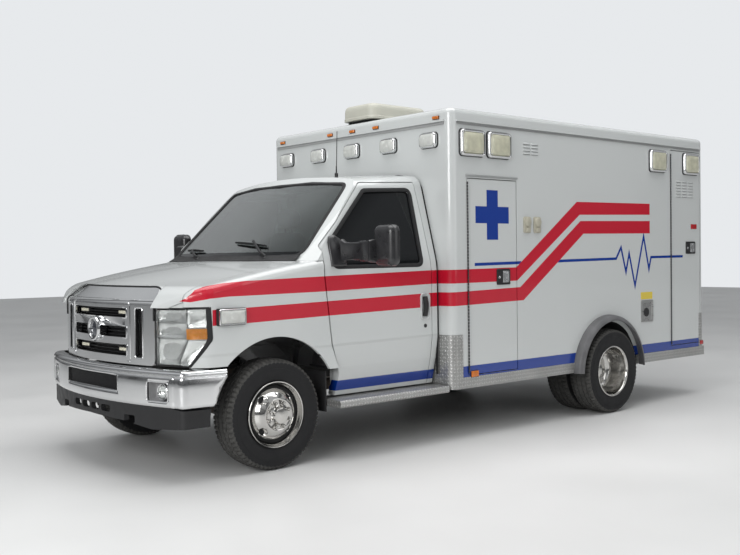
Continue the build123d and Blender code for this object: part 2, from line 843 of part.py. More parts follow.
with BuildPart() as grille:
    add(bowed(grille_section.sketch, grille_tip, grille_bow_radius))
    with BuildSketch(across_at(-300)):
        with BuildLine():
            corners = ((-grille_half, grille_bottom), (-grille_half, header_height))
            other_corners = ((grille_half, header_height), (grille_half, grille_bottom))
            FilletPolyline(*corners, *other_corners, radius=(30, 110, 110, 30), close=True)
        make_face()
    extrude(amount=900, mode=Mode.INTERSECT)
    with BuildSketch(across_at(-600)):
        for opening_bottom, opening_top in wide_openings:
            with Locations((0, (opening_bottom + opening_top) / 2)):
                RectangleRounded(2 * opening_half, opening_top - opening_bottom, 12)
        for side in (1, -1):
            with Locations((side * sum(tall_opening[0]) / 2, sum(tall_opening[1]) / 2)):
                RectangleRounded(
                    tall_opening[0][1] - tall_opening[0][0],
                    tall_opening[1][1] - tall_opening[1][0],
                    16,
                )
    extrude(amount=400, mode=Mode.SUBTRACT)
finish(grille, "grille")

# Headlamps: half outlines in plan of the lens and of the back of the lamp
lens_plan = ((664, -705), (905, -612), (984, -500), (990, -470))
lamp_back_plan = ((664, -640), (855, -560), (925, -490), (936, -470))
with BuildPart() as headlamps:
    with BuildPart(mode=Mode.PRIVATE) as lamp:
        with BuildSketch(plan_view.offset(lamp_bottom)):
            with BuildLine():
                FilletPolyline(*lens_plan, radius=120)
                FilletPolyline(*lamp_back_plan, radius=70)
                Line(lens_plan[0], lamp_back_plan[0])
                Line(lens_plan[-1], lamp_back_plan[-1])
            make_face()
        extrude(amount=lamp_top - lamp_bottom)
        with BuildSketch(side_view.offset(600)):
            with BuildLine():
                rear_edge = [(station - 4, height) for station, height in lamp_rear_line]
                Polyline((-900, rear_edge[0][1]), *rear_edge, (-900, rear_edge[-1][1]), close=True)
            make_face()
        extrude(amount=500, mode=Mode.INTERSECT)
    add(lamp.part)
    mirror(lamp.part, about=Plane.YZ)
finish(headlamps, "headlamps")

# Bumper and valance: a bowed face with tight corners, its ends cut back round the wheels
bumper_bow_radius = 2800
bumper_side = (1006, -385)


def bumper_edge(drawn_in):
    """Points on half of the bumper's outline in plan: middle, corner start, corner, corner end, rear."""
    corner_x = 928
    corner_station = -front_overhang + corner_x**2 / (2 * bumper_bow_radius)
    quarter_station = -front_overhang + (corner_x / 2) ** 2 / (2 * bumper_bow_radius)
    return (
        (0, -front_overhang + drawn_in),
        (corner_x / 2 - drawn_in / 2, quarter_station + drawn_in),
        (corner_x - drawn_in, corner_station + drawn_in),
        (corner_x + 40 - drawn_in, corner_station + 18 + drawn_in),
        (corner_x + 52 - drawn_in, corner_station + 56 + drawn_in),
        (bumper_side[0] - drawn_in, bumper_side[1]),
    )


def bumper_band(outer_in, depth, heights):
    """The bumper's outline drawn in, thickened inward, mirrored and made upright."""
    with BuildPart(mode=Mode.PRIVATE) as band:
        with BuildSketch(plan_view.offset(heights[0])):
            with BuildLine():
                ends = []
                for drawn_in in (outer_in, outer_in + depth):
                    points = bumper_edge(drawn_in)
                    ThreePointArc(points[0], points[1], points[2])
                    ThreePointArc(points[2], points[3], points[4])
                    Line(points[4], points[5])
                    ends.append((points[0], points[5]))
                Line(ends[0][0], ends[1][0])
                Line(ends[0][1], ends[1][1])
            make_face()
            mirror(about=Plane.YZ)
        extrude(amount=heights[1] - heights[0])
    return band.part


def under_arc(middle_height, end_height, lowest):
    """Everything under an arc that falls from the middle to the ends, seen from the front."""
    with BuildPart(mode=Mode.PRIVATE) as zone:
        with BuildSketch(across_at(-200)):
            with BuildLine():
                ThreePointArc((-1100, end_height), (0, middle_height), (1100, end_height))
                Polyline((1100, end_height), (1100, lowest), (-1100, lowest), (-1100, end_height))
            make_face()
        extrude(amount=900)
    return zone.part


bumper_arch_radius = 472
bumper_low_middle = 521
bumper_low_end = 455
mesh_opening = (764, 102)
mesh_opening_height = 611
fog_opening = (178, 124)
fog_centre = (764, 580)
with BuildPart() as front_bumper:
    add(bumper_band(0, 55, (bumper_low_end, bumper_top)))
    upper_edges = front_bumper.faces().sort_by(Axis.Z)[-1].edges()
    chamfer(upper_edges.filter_by(GeomType.LINE).sort_by(Axis.X)[-1], 20)
    add(under_arc(bumper_low_middle, bumper_low_end, 300), mode=Mode.SUBTRACT)
    with BuildSketch(across_at(-600)):
        with Locations((0, mesh_opening_height)):
            RectangleRounded(*mesh_opening, 14)
        for side in (1, -1):
            with Locations((side * fog_centre[0], fog_centre[1])):
                RectangleRounded(*fog_opening, 20)
    extrude(amount=400, mode=Mode.SUBTRACT)
    with BuildSketch(side_view.offset(-1100)):
        with Locations((0, tyre_radius)):
            Circle(bumper_arch_radius)
    extrude(amount=2200, mode=Mode.SUBTRACT)
finish(front_bumper, "front_bumper")

valance_arch_radius = 505
valance_bottom = ((0, 377), (441, 367), (700, 334), (1100, 360))
valance_slot = (118, 45)
valance_slot_pitch = 142
valance_slot_height = 428
tow_opening = (110, 52)
tow_centre = (485, 383)
with BuildPart() as front_valance:
    add(bumper_band(12, 34, (320, bumper_low_middle)))
    shifted_arc = (bumper_low_middle - 4, bumper_low_end - 4)
    add(under_arc(*shifted_arc, 300), mode=Mode.INTERSECT)
    with BuildSketch(across_at(-200)):
        with BuildLine():
            Polyline(*valance_bottom, (1100, 200), (0, 200), close=True)
        make_face()
        mirror(about=Plane.YZ)
    extrude(amount=900, mode=Mode.SUBTRACT)
    with BuildSketch(across_at(-600)):
        with Locations((0, valance_slot_height)):
            with GridLocations(valance_slot_pitch, 1, 4, 1):
                SlotOverall(*valance_slot)
        for side in (1, -1):
            with Locations((side * tow_centre[0], tow_centre[1])):
                RectangleRounded(*tow_opening, 14)
    extrude(amount=400, mode=Mode.SUBTRACT)
    with BuildSketch(side_view.offset(-1100)):
        with Locations((0, tyre_radius)):
            Circle(valance_arch_radius)
    extrude(amount=2200, mode=Mode.SUBTRACT)
finish(front_valance, "front_valance")

with BuildPart() as running_boards:
    for side in (1, -1):
        block((side * 830, side * 1130), (hinge_station + 29, cab_rear), (378, 428))
    chamfer(running_boards.faces().filter_by(Axis.Z).edges().filter_by(Axis.Y), 10)
finish(running_boards, "running_boards")

with BuildPart() as mud_flaps:
    for side in (1, -1):
        block((side * 740, side * 980), (424, 434), (340, 620))
finish(mud_flaps, "mud_flaps")

# Module body: walls and roof, with a rail along the foot of the roof's edge
door_foot = module_bottom + 10
# (name, side, first station, last station, bottom, top)
side_doors = (
    ("street_front_door", 1, module_setback + 175, module_setback + 755, door_foot, module_top - 530),
    ("street_rear_door", 1, module_rear - 592, module_rear - 65, door_foot + 30, module_top - 140),
    ("entry_door", -1, module_setback + 715, module_setback + 1475, door_foot, module_top - 210),
    ("curb_rear_door", -1, module_rear - 825, module_rear - 65, door_foot, module_top - 530),
)
rear_door_edge = 850
rear_door_heights = (floor_height, module_top - 210)
hinge_radius = 5
hinge_reach = 6
hinge_leaf = 2
rear_arch_radius = 440
free_seam = 9
window_margin = 170
walkway = ((-300, 300), (floor_height, cab_floor_height + 1160))
entry_window_heights = (1450, module_top - 420)
rear_window_heights = (1480, module_top - 420)

with BuildPart() as module_shell:
    block((-module_half, module_half), (module_setback, module_rear), (module_bottom, module_top))
    fillet(module_shell.edges().filter_by(Axis.Z), corner_radius)
    fillet(module_shell.faces().sort_by(Axis.Z)[-1].edges(), roof_edge_radius)
    inside = (wall - module_half, module_half - wall)
    room_stations = (module_setback + wall, module_rear - wall)
    block(inside, room_stations, (0, module_top - roof_thickness), mode=Mode.SUBTRACT)
    for name, side, start, end, bottom, top in side_doors:
        through = (side * (module_half - 2 * wall), side * (module_half + wall))
        block(through, (start, end), (bottom, top), mode=Mode.SUBTRACT)
    rear_wall = (module_rear - 2 * wall, module_rear + wall)
    front_wall = (module_setback - 20, module_setback + 80)
    block((-rear_door_edge, rear_door_edge), rear_wall, rear_door_heights, mode=Mode.SUBTRACT)
    block(walkway[0], front_wall, walkway[1], mode=Mode.SUBTRACT)
    block((-900, 900), front_wall, (0, floor_height - floor_thickness), mode=Mode.SUBTRACT)
    with BuildSketch(side_view.offset(-module_half - 50)):
        with Locations((wheelbase, tyre_radius)):
            Circle(rear_arch_radius)
    extrude(amount=module_width + 100, mode=Mode.SUBTRACT)
    rail_heights = (drip_rail_height, drip_rail_height + 14)
    for side in (1, -1):
        rail = (side * (module_half - 5), side * (module_half + 12))
        block(rail, (module_setback + corner_radius, module_rear - corner_radius), rail_heights)
    front_rail = (corner_radius - module_half, module_half - corner_radius)
    block(front_rail, (module_setback - 12, module_setback + 5), rail_heights)
finish(module_shell, "module_shell")

# Compartments reached only from outside, each lined by flat panels that stop short of each other
compartment_depth = 480
compartment_margin = 10
panel = 20
compartment_floor = module_bottom
ceiling = module_top - roof_thickness
cupboard_doors = [door for door in side_doors if door[0] != "entry_door"]
with BuildPart() as cabinet_walls:
    for name, side, start, end, bottom, top in cupboard_doors:
        first = start - compartment_margin - panel
        last = end + compartment_margin
        outer = side * (module_half - wall - 1)
        inner = side * (module_half - wall - compartment_depth)
        inner_face = inner + side * (panel + contact_gap)
        heights = (compartment_floor - panel, ceiling - 2)
        block((inner, inner + side * panel), (first, last), heights)
        block((inner_face, outer), (first, first + panel), heights)
        block((inner_face, outer), (last - panel, last), heights)
        shelf_stations = (first + panel + contact_gap, last - panel - contact_gap)
        block((inner_face, outer), shelf_stations, (heights[0], heights[0] + panel))
        block((inner_face, outer), shelf_stations, (heights[1] - panel, heights[1]))
finish(cabinet_walls, "cabinet_walls")

# Floor: a deck with cut-outs for the cupboards, the wheels and the steps
wheel_box_inner = 680
wheel_box_stations = (wheelbase - 480, wheelbase + 480)
wheel_box_top = 900
step_inner = 780
entry_start, entry_end = side_doors[2][2:4]
step_stations = (entry_start - compartment_margin, entry_end + compartment_margin)
floor_bearers = tuple(module_setback + along for along in (225, 925, 1625, 2375, 3075))
floor_half = module_half - wall - 1
floor_bottom = floor_height - floor_thickness
with BuildPart() as module_floor:
    floor_stations = (module_setback + wall + 1, module_rear - wall - 1)
    block((-floor_half, floor_half), floor_stations, (floor_bottom, floor_height))
    for side in (1, -1):
        well_xs = (side * (wheel_box_inner - contact_gap), side * module_half)
        well_stations = (wheel_box_stations[0] - contact_gap, wheel_box_stations[1] + contact_gap)
        block(well_xs, well_stations, (0, 1000), mode=Mode.SUBTRACT)
    for name, side, start, end, bottom, top in cupboard_doors:
        cupboard = (side * (module_half - wall - compartment_depth - 2), side * module_half)
        reach = compartment_margin + panel + 2
        block(cupboard, (start - reach, end + reach + 28), (0, 1000), mode=Mode.SUBTRACT)
    step_gap = (step_stations[0] - contact_gap, step_stations[1] + contact_gap)
    block((-module_half, contact_gap - step_inner), step_gap, (0, 1000), mode=Mode.SUBTRACT)
    for station in floor_bearers:
        block((-rail_x, rail_x), (station - 40, station + 40), (rail_top, floor_bottom))
finish(module_floor, "module_floor")

with BuildPart() as wheel_boxes:
    for side in (1, -1):
        box_xs = (side * wheel_box_inner, side * floor_half)
        under_xs = (side * (wheel_box_inner + panel), side * module_half)
        under_stations = (wheel_box_stations[0] + panel, wheel_box_stations[1] - panel)
        block(box_xs, wheel_box_stations, (floor_bottom, wheel_box_top))
        block(under_xs, under_stations, (0, wheel_box_top - panel), mode=Mode.SUBTRACT)
finish(wheel_boxes, "wheel_boxes")

with BuildPart() as entry_step:
    block((-floor_half, -step_inner), step_stations, (compartment_floor, floor_height))
    well_xs = (-floor_half - 5, -step_inner - panel)
    well_stations = (step_stations[0] + panel, step_stations[1] - panel)
    block(well_xs, well_stations, (compartment_floor + panel, 1000), mode=Mode.SUBTRACT)
    block((-960, -step_inner - panel), well_stations, (compartment_floor + panel, 630))
finish(entry_step, "entry_step")

with BuildPart() as bench_seat:
    bench_stations = (entry_end + 60, side_doors[3][2] - 100)
    block((8 - floor_half, -600), bench_stations, (wheel_box_top + 2, 1180))
    block((8 - floor_half, -1000), bench_stations, (1180, 1650))
finish(bench_seat, "bench_seat")

# Module doors, flush with the walls
for name, side, start, end, bottom, top in side_doors:
    with BuildPart() as module_door:
        leaf = (side * (module_half - wall), side * module_half)
        block(leaf, (start + seam, end - free_seam), (bottom + seam, top - seam))
        hinge_edge = (side * module_half, side * (module_half + hinge_leaf))
        block(hinge_edge, (start, start + 30), (bottom + 3 * seam, top - 3 * seam))
        with BuildSketch(plan_view.offset(bottom + 3 * seam)):
            with Locations((side * (module_half + hinge_reach), start)):
                Circle(hinge_radius)
        extrude(amount=top - bottom - 6 * seam)
        if name == "entry_door":
            glazed = (start + window_margin, end - window_margin)
            block((leaf[0] * 0.9, leaf[1] * 1.1), glazed, entry_window_heights, mode=Mode.SUBTRACT)
    finish(module_door, name)
    if name == "entry_door":
        with BuildPart() as entry_window:
            block((20 - module_half, 28 - module_half), glazed, entry_window_heights)
        finish(entry_window, "entry_window")

for side_name, side in (("left", 1), ("right", -1)):
    leaf_xs = (side * free_seam / 2, side * (rear_door_edge - seam))
    leaf_heights = (rear_door_heights[0] + seam, rear_door_heights[1] - seam)
    glazed_xs = (side * window_margin, side * (rear_door_edge - window_margin))
    with BuildPart() as rear_door:
        block(leaf_xs, (module_rear - wall, module_rear), leaf_heights)
        hinge_xs = (side * (rear_door_edge - 30), side * rear_door_edge)
        hinge_heights = (leaf_heights[0] + 2 * seam, leaf_heights[1] - 2 * seam)
        block(hinge_xs, (module_rear, module_rear + hinge_leaf), hinge_heights)
        with BuildSketch(plan_view.offset(hinge_heights[0])):
            with Locations((side * rear_door_edge, module_rear + hinge_reach)):
                Circle(hinge_radius)
        extrude(amount=hinge_heights[1] - hinge_heights[0])
        block(glazed_xs, rear_wall, rear_window_heights, mode=Mode.SUBTRACT)
    finish(rear_door, f"rear_door_{side_name}")
    with BuildPart() as rear_window:
        block(glazed_xs, (module_rear - 28, module_rear - 20), rear_window_heights)
    finish(rear_window, f"rear_window_{side_name}")

# Outside fittings of the module
guard_top = 810
guard_reach = 112
guard_thickness = 4
skirt_stretches = ((module_setback + guard_reach, wheelbase - 442), (wheelbase + 442, module_rear))
with BuildPart() as tread_plates:
    for side in (1, -1):
        for stations in skirt_stretches:
            skirt_xs = (side * (module_half - 40), side * (module_half + 3))
            block(skirt_xs, stations, (skirt_bottom, module_bottom - contact_gap))
    with BuildPart(mode=Mode.PRIVATE) as corner:
        with BuildSketch(plan_view.offset(skirt_bottom)):
            with BuildLine():
                guard_x = module_half - 260
                guard_station = module_setback + guard_reach - 2
                ends = []
                for off in (contact_gap, contact_gap + guard_thickness):
                    start = (guard_x, module_setback - off)
                    end = (module_half + off, guard_station)
                    FilletPolyline(start, (end[0], start[1]), end, radius=corner_radius + off)
                    ends.append((start, end))
                Line(ends[0][0], ends[1][0])
                Line(ends[0][1], ends[1][1])
            make_face()
        extrude(amount=guard_top - skirt_bottom)
    add(corner.part)
    mirror(corner.part, about=Plane.YZ)
finish(tread_plates, "tread_plates")

flare_reach = 82
with BuildPart() as rear_flares:
    with BuildPart(mode=Mode.PRIVATE) as flare:
        with BuildSketch(wheel_plane(wheelbase, 0)):
            with BuildLine():
                foot = module_half + contact_gap
                ThreePointArc((foot, 500), (foot + 52, 494), (foot + flare_reach, 455))
                Line((foot + flare_reach, 455), (foot + flare_reach - 14, 446))
                ThreePointArc((foot + flare_reach - 14, 446), (foot + 44, 478), (foot, 484))
                Line((foot, 484), (foot, 500))
            make_face()
        revolve(axis=axle_line(wheelbase), revolution_arc=360)
        block((1000, 1400), (wheelbase - 700, wheelbase + 700), (-400, 440), mode=Mode.SUBTRACT)
    add(flare.part)
    mirror(flare.part, about=Plane.YZ)
finish(rear_flares, "rear_flares")

with BuildPart() as rear_step:
    block((-1060, 1060), (module_rear + 6, rear_end), (410, 470))
    for side in (1, -1):
        block((side * 372, side * (rail_x - 8)), (module_rear - 59, module_rear + 20), (430, 470))
        block((side * 372, side * (rail_x - 8)), (module_rear - 59, module_rear - 50), (430, 600))
finish(rear_step, "rear_step")

# Lamps on the module's front, sides and rear
lamp_depth = 36
lens_proud = 8
lens_margin = 25
front_lamp_xs = (-920, -460, 0, 460, 920)
front_lamp = (190, 124)
front_lamp_height = module_top - 237
side_lamp = (286, 212)
side_lamp_height = module_top - 262
side_lamp_stations = (module_setback + 243, module_setback + 555, module_rear - 799)
last_lamp_station = module_rear - 223
rear_lamp = (190, 212)
rear_lamp_x = 988
fender_lamp = ((-457, -243), (986, 1100))


def lamp_on_wall(along, height, face, wall_view):
    """A lamp's case and lens standing out of a wall seen in the view."""
    with BuildPart(mode=Mode.PRIVATE) as lamp:
        for margin, depth in ((0, lamp_depth), (lens_margin, lamp_depth + lens_proud)):
            with BuildSketch(wall_view.offset(contact_gap)):
                with Locations((along, height)):
                    RectangleRounded(face[0] - 2 * margin, face[1] - 2 * margin, 12)
            extrude(amount=depth)
    return lamp.part


left_wall = side_view.offset(module_half)
front_wall_face = across_at(module_setback)
rear_wall_face = Plane(origin=(0, front_axle_y + module_rear, 0), x_dir=(-1, 0, 0), z_dir=(0, 1, 0))

last_lamp = lamp_on_wall(last_lamp_station, side_lamp_height, side_lamp, left_wall)
with BuildPart() as warning_lamps:
    for x in front_lamp_xs:
        add(lamp_on_wall(x, front_lamp_height, front_lamp, front_wall_face))
    for x in (rear_lamp_x, -rear_lamp_x):
        add(lamp_on_wall(x, side_lamp_height, rear_lamp, rear_wall_face))
    with BuildPart(mode=Mode.PRIVATE) as side_set:
        for station in side_lamp_stations:
            add(lamp_on_wall(station, side_lamp_height, side_lamp, left_wall))
        block((cab_half - skin + 4, cab_half + 26), *fender_lamp)
        add(front_fenders.part, mode=Mode.SUBTRACT)
    add(side_set.part)
    mirror(side_set.part, about=Plane.YZ)
    mirror(last_lamp, about=Plane.YZ)
finish(warning_lamps, "warning_lamps")

with BuildPart() as street_door_lamp:
    add(last_lamp)
finish(street_door_lamp, "street_door_lamp")

marker_xs = (-994, -298, 0, 298, 994)
marker_heights = (module_top - 84, module_top - 56)
with BuildPart() as marker_lamps:
    for x in marker_xs:
        block((x - 35, x + 35), (module_setback - 18, module_setback - contact_gap), marker_heights)
        block((x - 35, x + 35), (module_rear + contact_gap, module_rear + 18), marker_heights)
    for side in (1, -1):
        skirt_marker = (side * (module_half + 3 + contact_gap), side * (module_half + 16))
        rear_marker = (side * (module_half + contact_gap), side * (module_half + 14))
        marker_foot = skirt_bottom + 35
        block(skirt_marker, (module_setback + 195, module_setback + 282), (marker_foot, marker_foot + 36))
        block(rear_marker, (module_rear - 50, module_rear - 25), (1600, 1700))
finish(marker_lamps, "marker_lamps")

with BuildPart() as tail_lamps:
    for side in (1, -1):
        for height in (1000, 1150, 1300):
            lens = (module_rear + contact_gap, module_rear + 30)
            block((side * 880, side * 1040), lens, (height, height + 120))
finish(tail_lamps, "tail_lamps")

with BuildPart() as roof_air_unit:
    unit_stations = (module_setback + 75, module_setback + 665)
    cover_stations = (unit_stations[0] - 10, unit_stations[1] + 10)
    block((-195, 195), cover_stations, (module_top + 30, module_top + 165))
    fillet(roof_air_unit.edges().filter_by(Axis.Z), 55)
    fillet(roof_air_unit.faces().sort_by(Axis.Z)[-1].edges(), 40)
    block((-170, 170), unit_stations, (module_top + contact_gap, module_top + 30))
finish(roof_air_unit, "roof_air_unit")

with BuildPart() as service_inlets:
    filler = (wheelbase + 520, wheelbase + 712)
    block((module_half + contact_gap, module_half + 12), filler, (775, 978))
    recess = (filler[0] + 25, filler[1] - 25)
    block((module_half + 2, module_half + 20), recess, (800, 953), mode=Mode.SUBTRACT)
    for station in (module_setback + 879, module_setback + 1006):
        block((module_half + contact_gap, module_half + 30), (station - 45, station + 45), (1590, 1725))
finish(service_inlets, "service_inlets")
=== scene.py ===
import math
import bpy
import bmesh
from mathutils import Matrix, Vector


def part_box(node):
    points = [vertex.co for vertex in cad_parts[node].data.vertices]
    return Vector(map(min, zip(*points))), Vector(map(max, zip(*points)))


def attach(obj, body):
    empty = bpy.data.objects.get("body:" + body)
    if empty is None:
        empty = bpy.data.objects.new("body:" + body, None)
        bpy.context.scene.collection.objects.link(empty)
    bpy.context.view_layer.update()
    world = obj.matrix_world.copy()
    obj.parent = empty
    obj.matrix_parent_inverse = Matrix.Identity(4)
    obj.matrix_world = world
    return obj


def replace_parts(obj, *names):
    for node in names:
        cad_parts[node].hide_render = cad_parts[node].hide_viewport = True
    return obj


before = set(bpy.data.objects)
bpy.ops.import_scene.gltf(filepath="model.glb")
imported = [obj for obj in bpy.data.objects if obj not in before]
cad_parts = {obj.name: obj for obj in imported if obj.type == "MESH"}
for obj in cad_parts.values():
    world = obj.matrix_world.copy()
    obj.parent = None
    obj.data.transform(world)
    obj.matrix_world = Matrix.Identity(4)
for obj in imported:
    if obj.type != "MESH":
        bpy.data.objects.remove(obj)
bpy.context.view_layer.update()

# The view of the picture: the camera stands off the left front corner, about as high as the door handle,
# turned 49 degrees from the line of the vehicle and held with a slight tilt.
# Stations along the vehicle are measured back from the front axle, whose place is the front tyre's middle.
tyre_low, tyre_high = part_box("tyre_front_left")
axle_y = (tyre_low.y + tyre_high.y) / 2
wheel_height = (tyre_low.z + tyre_high.z) / 2
wheelbase = 3.505
yaw, pitch, roll = 0.856, -0.022, -0.013
camera_x, camera_station, camera_height, camera_lens = 6.223, -3.703, 1.4175, 46.77
ahead = Vector((-math.sin(yaw) * math.cos(pitch), math.cos(yaw) * math.cos(pitch), math.sin(pitch)))
level = Vector((math.cos(yaw), math.sin(yaw), 0))
upward = level.cross(ahead)
rightward = level * math.cos(roll) + upward * math.sin(roll)
upward = upward * math.cos(roll) - level * math.sin(roll)
camera = bpy.data.objects.new("camera", bpy.data.cameras.new("camera"))
camera.data.lens = camera_lens
turned_to = Matrix((rightward, upward, -ahead)).transposed().to_4x4()
camera.matrix_world = Matrix.Translation((camera_x, axle_y + camera_station, camera_height)) @ turned_to
bpy.context.collection.objects.link(camera)
bpy.context.scene.camera = camera
bpy.context.scene.view_settings.view_transform = "Standard"

# The studio: a plain pale floor under soft light from above, from the front left and from the side.
# The floor is sealed concrete, which keeps the vehicle's shadow and a faint sheen.


def node(made, kind, inputs=(), **settings):
    """Adds a node to a material or world; each input is a value or the output of another node."""
    added = made.node_tree.nodes.new("ShaderNode" + kind)
    for setting, value in settings.items():
        setattr(added, setting, value)
    for socket, value in dict(inputs).items():
        value = value.socket if isinstance(value, Reading) else value
        if isinstance(value, bpy.types.NodeSocket):
            made.node_tree.links.new(value, added.inputs[socket])
        else:
            added.inputs[socket].default_value = value
    return added


class Reading:
    """A number in a shader, which takes part in sums; a mask is 1 where it holds and 0 elsewhere."""

    def __init__(self, made, socket):
        self.made, self.socket = made, socket

    def maths(self, operation, *others):
        """The result of one sum in which this reading comes first."""
        sum_node = node(self.made, "Math", enumerate((self, *others)), operation=operation)
        return Reading(self.made, sum_node.outputs[0])

    def ranged(self, start, end, low, high, **settings):
        """Stretches start to end so that it runs from low to high, and holds it beyond them."""
        ends = {"Value": self, "From Min": start, "From Max": end, "To Min": low, "To Max": high}
        return Reading(self.made, node(self.made, "MapRange", ends, **settings).outputs[0])

    def __abs__(self):
        return self.maths("ABSOLUTE")

    def __add__(self, other):
        return self.maths("ADD", other)

    def __sub__(self, other):
        return self.maths("SUBTRACT", other)

    def __mul__(self, other):
        return self.maths("MULTIPLY", other)

    def __truediv__(self, other):
        return self.maths("DIVIDE", other)

    def __pow__(self, other):
        return self.maths("POWER", other)

    def __mod__(self, other):
        return self.maths("MODULO", other)

    def __lt__(self, other):
        return self.maths("LESS_THAN", other)

    def __gt__(self, other):
        return self.maths("GREATER_THAN", other)

    def __and__(self, other):
        return self.maths("MULTIPLY", other)

    def __or__(self, other):
        return self.maths("MAXIMUM", other)


def parts_of(made, kind):
    """The three numbers of a surface point's place or normal."""
    parted = node(made, "SeparateXYZ", {0: node(made, "TexCoord").outputs[kind]})
    return [Reading(made, output) for output in parted.outputs]


def feed(made, socket, output):
    """Leads an output to a socket of the material's shader."""
    output = output.socket if isinstance(output, Reading) else output
    made.node_tree.links.new(output, made.node_tree.nodes["Principled BSDF"].inputs[socket])


def overlay(made, base, colour, mask):
    """A base colour with another laid over it where the mask is 1."""
    return node(made, "Mix", {0: mask, 6: base, 7: colour}, data_type="RGBA").outputs[2]


def ripples(made, scale, depth, direction):
    """Adds even parallel ribs to a finish's relief."""
    place = node(made, "TexCoord").outputs["Object"]
    waves = node(made, "TexWave", {"Vector": place, "Scale": scale}, bands_direction=direction)
    under = made.node_tree.nodes["Principled BSDF"].inputs["Normal"].links[0].from_socket
    relief = node(made, "Bump", {"Height": waves.outputs[1], "Distance": depth, "Normal": under})
    feed(made, "Normal", relief.outputs[0])


def worn(made, size, shade, gloss, bump, stretch=(1, 1, 1), base=None):
    """Makes a finish uneven: patches of shade, gloss between two roughnesses, and a fine relief in metres."""
    place = node(made, "TexCoord").outputs["Object"]
    place = node(made, "Mapping", {"Vector": place, "Scale": stretch}).outputs[0]
    patches = node(made, "TexNoise", {"Vector": place, "Scale": 1 / size, "Detail": 5.0}).outputs[0]
    patches = Reading(made, patches)
    grain = node(made, "TexNoise", {"Vector": place, "Scale": 9 / size, "Detail": 3.0}).outputs[0]
    base = base or tuple(made.node_tree.nodes["Principled BSDF"].inputs["Base Color"].default_value)
    tone = patches.ranged(0.3, 0.7, 1 - shade, 1 + shade)
    feed(made, "Base Color", node(made, "HueSaturation", {"Value": tone, "Color": base}).outputs[0])
    feed(made, "Roughness", patches.ranged(0.3, 0.7, *gloss))
    relief = node(made, "Bump", {"Height": grain, "Strength": 1.0, "Distance": bump})
    feed(made, "Normal", relief.outputs[0])
    return relief


def finish(name, colour, roughness, wear=None, values=(), ribs=None):
    """A material from its colour, roughness, wear, further sockets and ribs."""
    made = bpy.data.materials.new(name)
    made.use_nodes = True
    shader = made.node_tree.nodes["Principled BSDF"]
    shader.inputs["Base Color"].default_value = (*colour, 1)
    shader.inputs["Roughness"].default_value = roughness
    for socket, value in dict(values).items():
        shader.inputs[socket].default_value = value
    if wear:
        worn(made, *wear)
    if ribs:
        ripples(made, *ribs)
    return made


concrete = finish("sealed_concrete", (0.76, 0.76, 0.75), 0.4, (1.6, 0.03, (0.34, 0.5), 0.0006))
floor_mesh = bmesh.new()
bmesh.ops.create_grid(floor_mesh, x_segments=8, y_segments=8, size=30)
floor_data = bpy.data.meshes.new("floor")
floor_mesh.to_mesh(floor_data)
floor_data.materials.append(concrete)
floor = bpy.data.objects.new("floor", floor_data)
bpy.context.collection.objects.link(floor)

# The hall is pale to the eye; what the surfaces reflect grows lighter upward and is barred by roof beams
world = bpy.data.worlds.new("studio")
bpy.context.scene.world = world
world.use_nodes = True
sky = world.node_tree.nodes["Background"]
sky.inputs["Color"].default_value = (0.80, 0.82, 0.84, 1)
beam_spacing = 4.2
_, sky_along, sky_up = parts_of(world, "Generated")
bars = (sky_along / sky_up.maths("MAXIMUM", 0.12) * beam_spacing).maths("SINE").ranged(-0.9, -0.3, 0.35, 1.15)
seen = Reading(world, node(world, "LightPath").outputs["Is Camera Ray"])
strength = seen.ranged(0, 1, sky_up.ranged(0.0, 0.55, 0.12, 0.62) * bars, 1.0)
world.node_tree.links.new(strength.socket, sky.inputs["Strength"])

# (name, place, what it points at, width, length, power)
lamps = (
    ("lamp_overhead", (1.0, -0.5, 7.5), (0, 0, 0), 9, 6, 440),
    ("lamp_front_left", (4.5, -10.5, 4.2), (0, -1, 1.2), 5, 4, 470),
    ("lamp_side", (10.0, 3.0, 4.0), (0, 1, 1.3), 4, 6, 90),
)
for name, place, target, width, length, power in lamps:
    light = bpy.data.lights.new(name, "AREA")
    light.shape = "RECTANGLE"
    light.size, light.size_y, light.energy = width, length, power
    lamp = bpy.data.objects.new(name, light)
    lamp.location = place
    lamp.rotation_euler = (Vector(target) - Vector(place)).to_track_quat("-Z", "Y").to_euler()
    bpy.context.collection.objects.link(lamp)

# Body panels: pressed and folded steel and aluminium sheet, sprayed grey-white under clear coat.
# The two crimson bands with their white gap, the blue sill band and the thin pulse line are vinyl film laid
# on the paint, so they're painted by place: station along the vehicle and height.
white = (0.60, 0.62, 0.615, 1)
crimson = (0.54, 0.006, 0.026, 1)
royal_blue = (0.001, 0.034, 0.27, 1)
label_yellow = (0.72, 0.55, 0.06, 1)
wheelhouse_black = (0.012, 0.012, 0.013, 1)
# Edges of the bands as (station, height)
upper_band_top = (
    (-0.645, 1.150), (-0.623, 1.166), (-0.564, 1.219), (-0.504, 1.241), (-0.387, 1.259), (-0.241, 1.269),
    (0.391, 1.284), (1.440, 1.306), (2.269, 1.314), (3.070, 1.863), (4.180, 1.875),
)
upper_band_foot = (
    (-0.645, 1.149), (-0.599, 1.143), (-0.495, 1.163), (-0.359, 1.172), (0.391, 1.179), (1.440, 1.202),
    (2.279, 1.206), (3.109, 1.752), (4.180, 1.772),
)
lower_band_top = (
    (-0.480, 1.091), (0.391, 1.110), (1.440, 1.134), (2.317, 1.153), (3.119, 1.699), (4.180, 1.714),
)
lower_band_foot = (
    (-0.480, 0.990), (0.391, 1.009), (1.440, 1.029), (2.357, 1.045), (3.161, 1.589), (4.180, 1.598),
)
sill_top = ((0.534, 0.545), (1.500, 0.545), (1.530, 0.565), (5.125, 0.565))
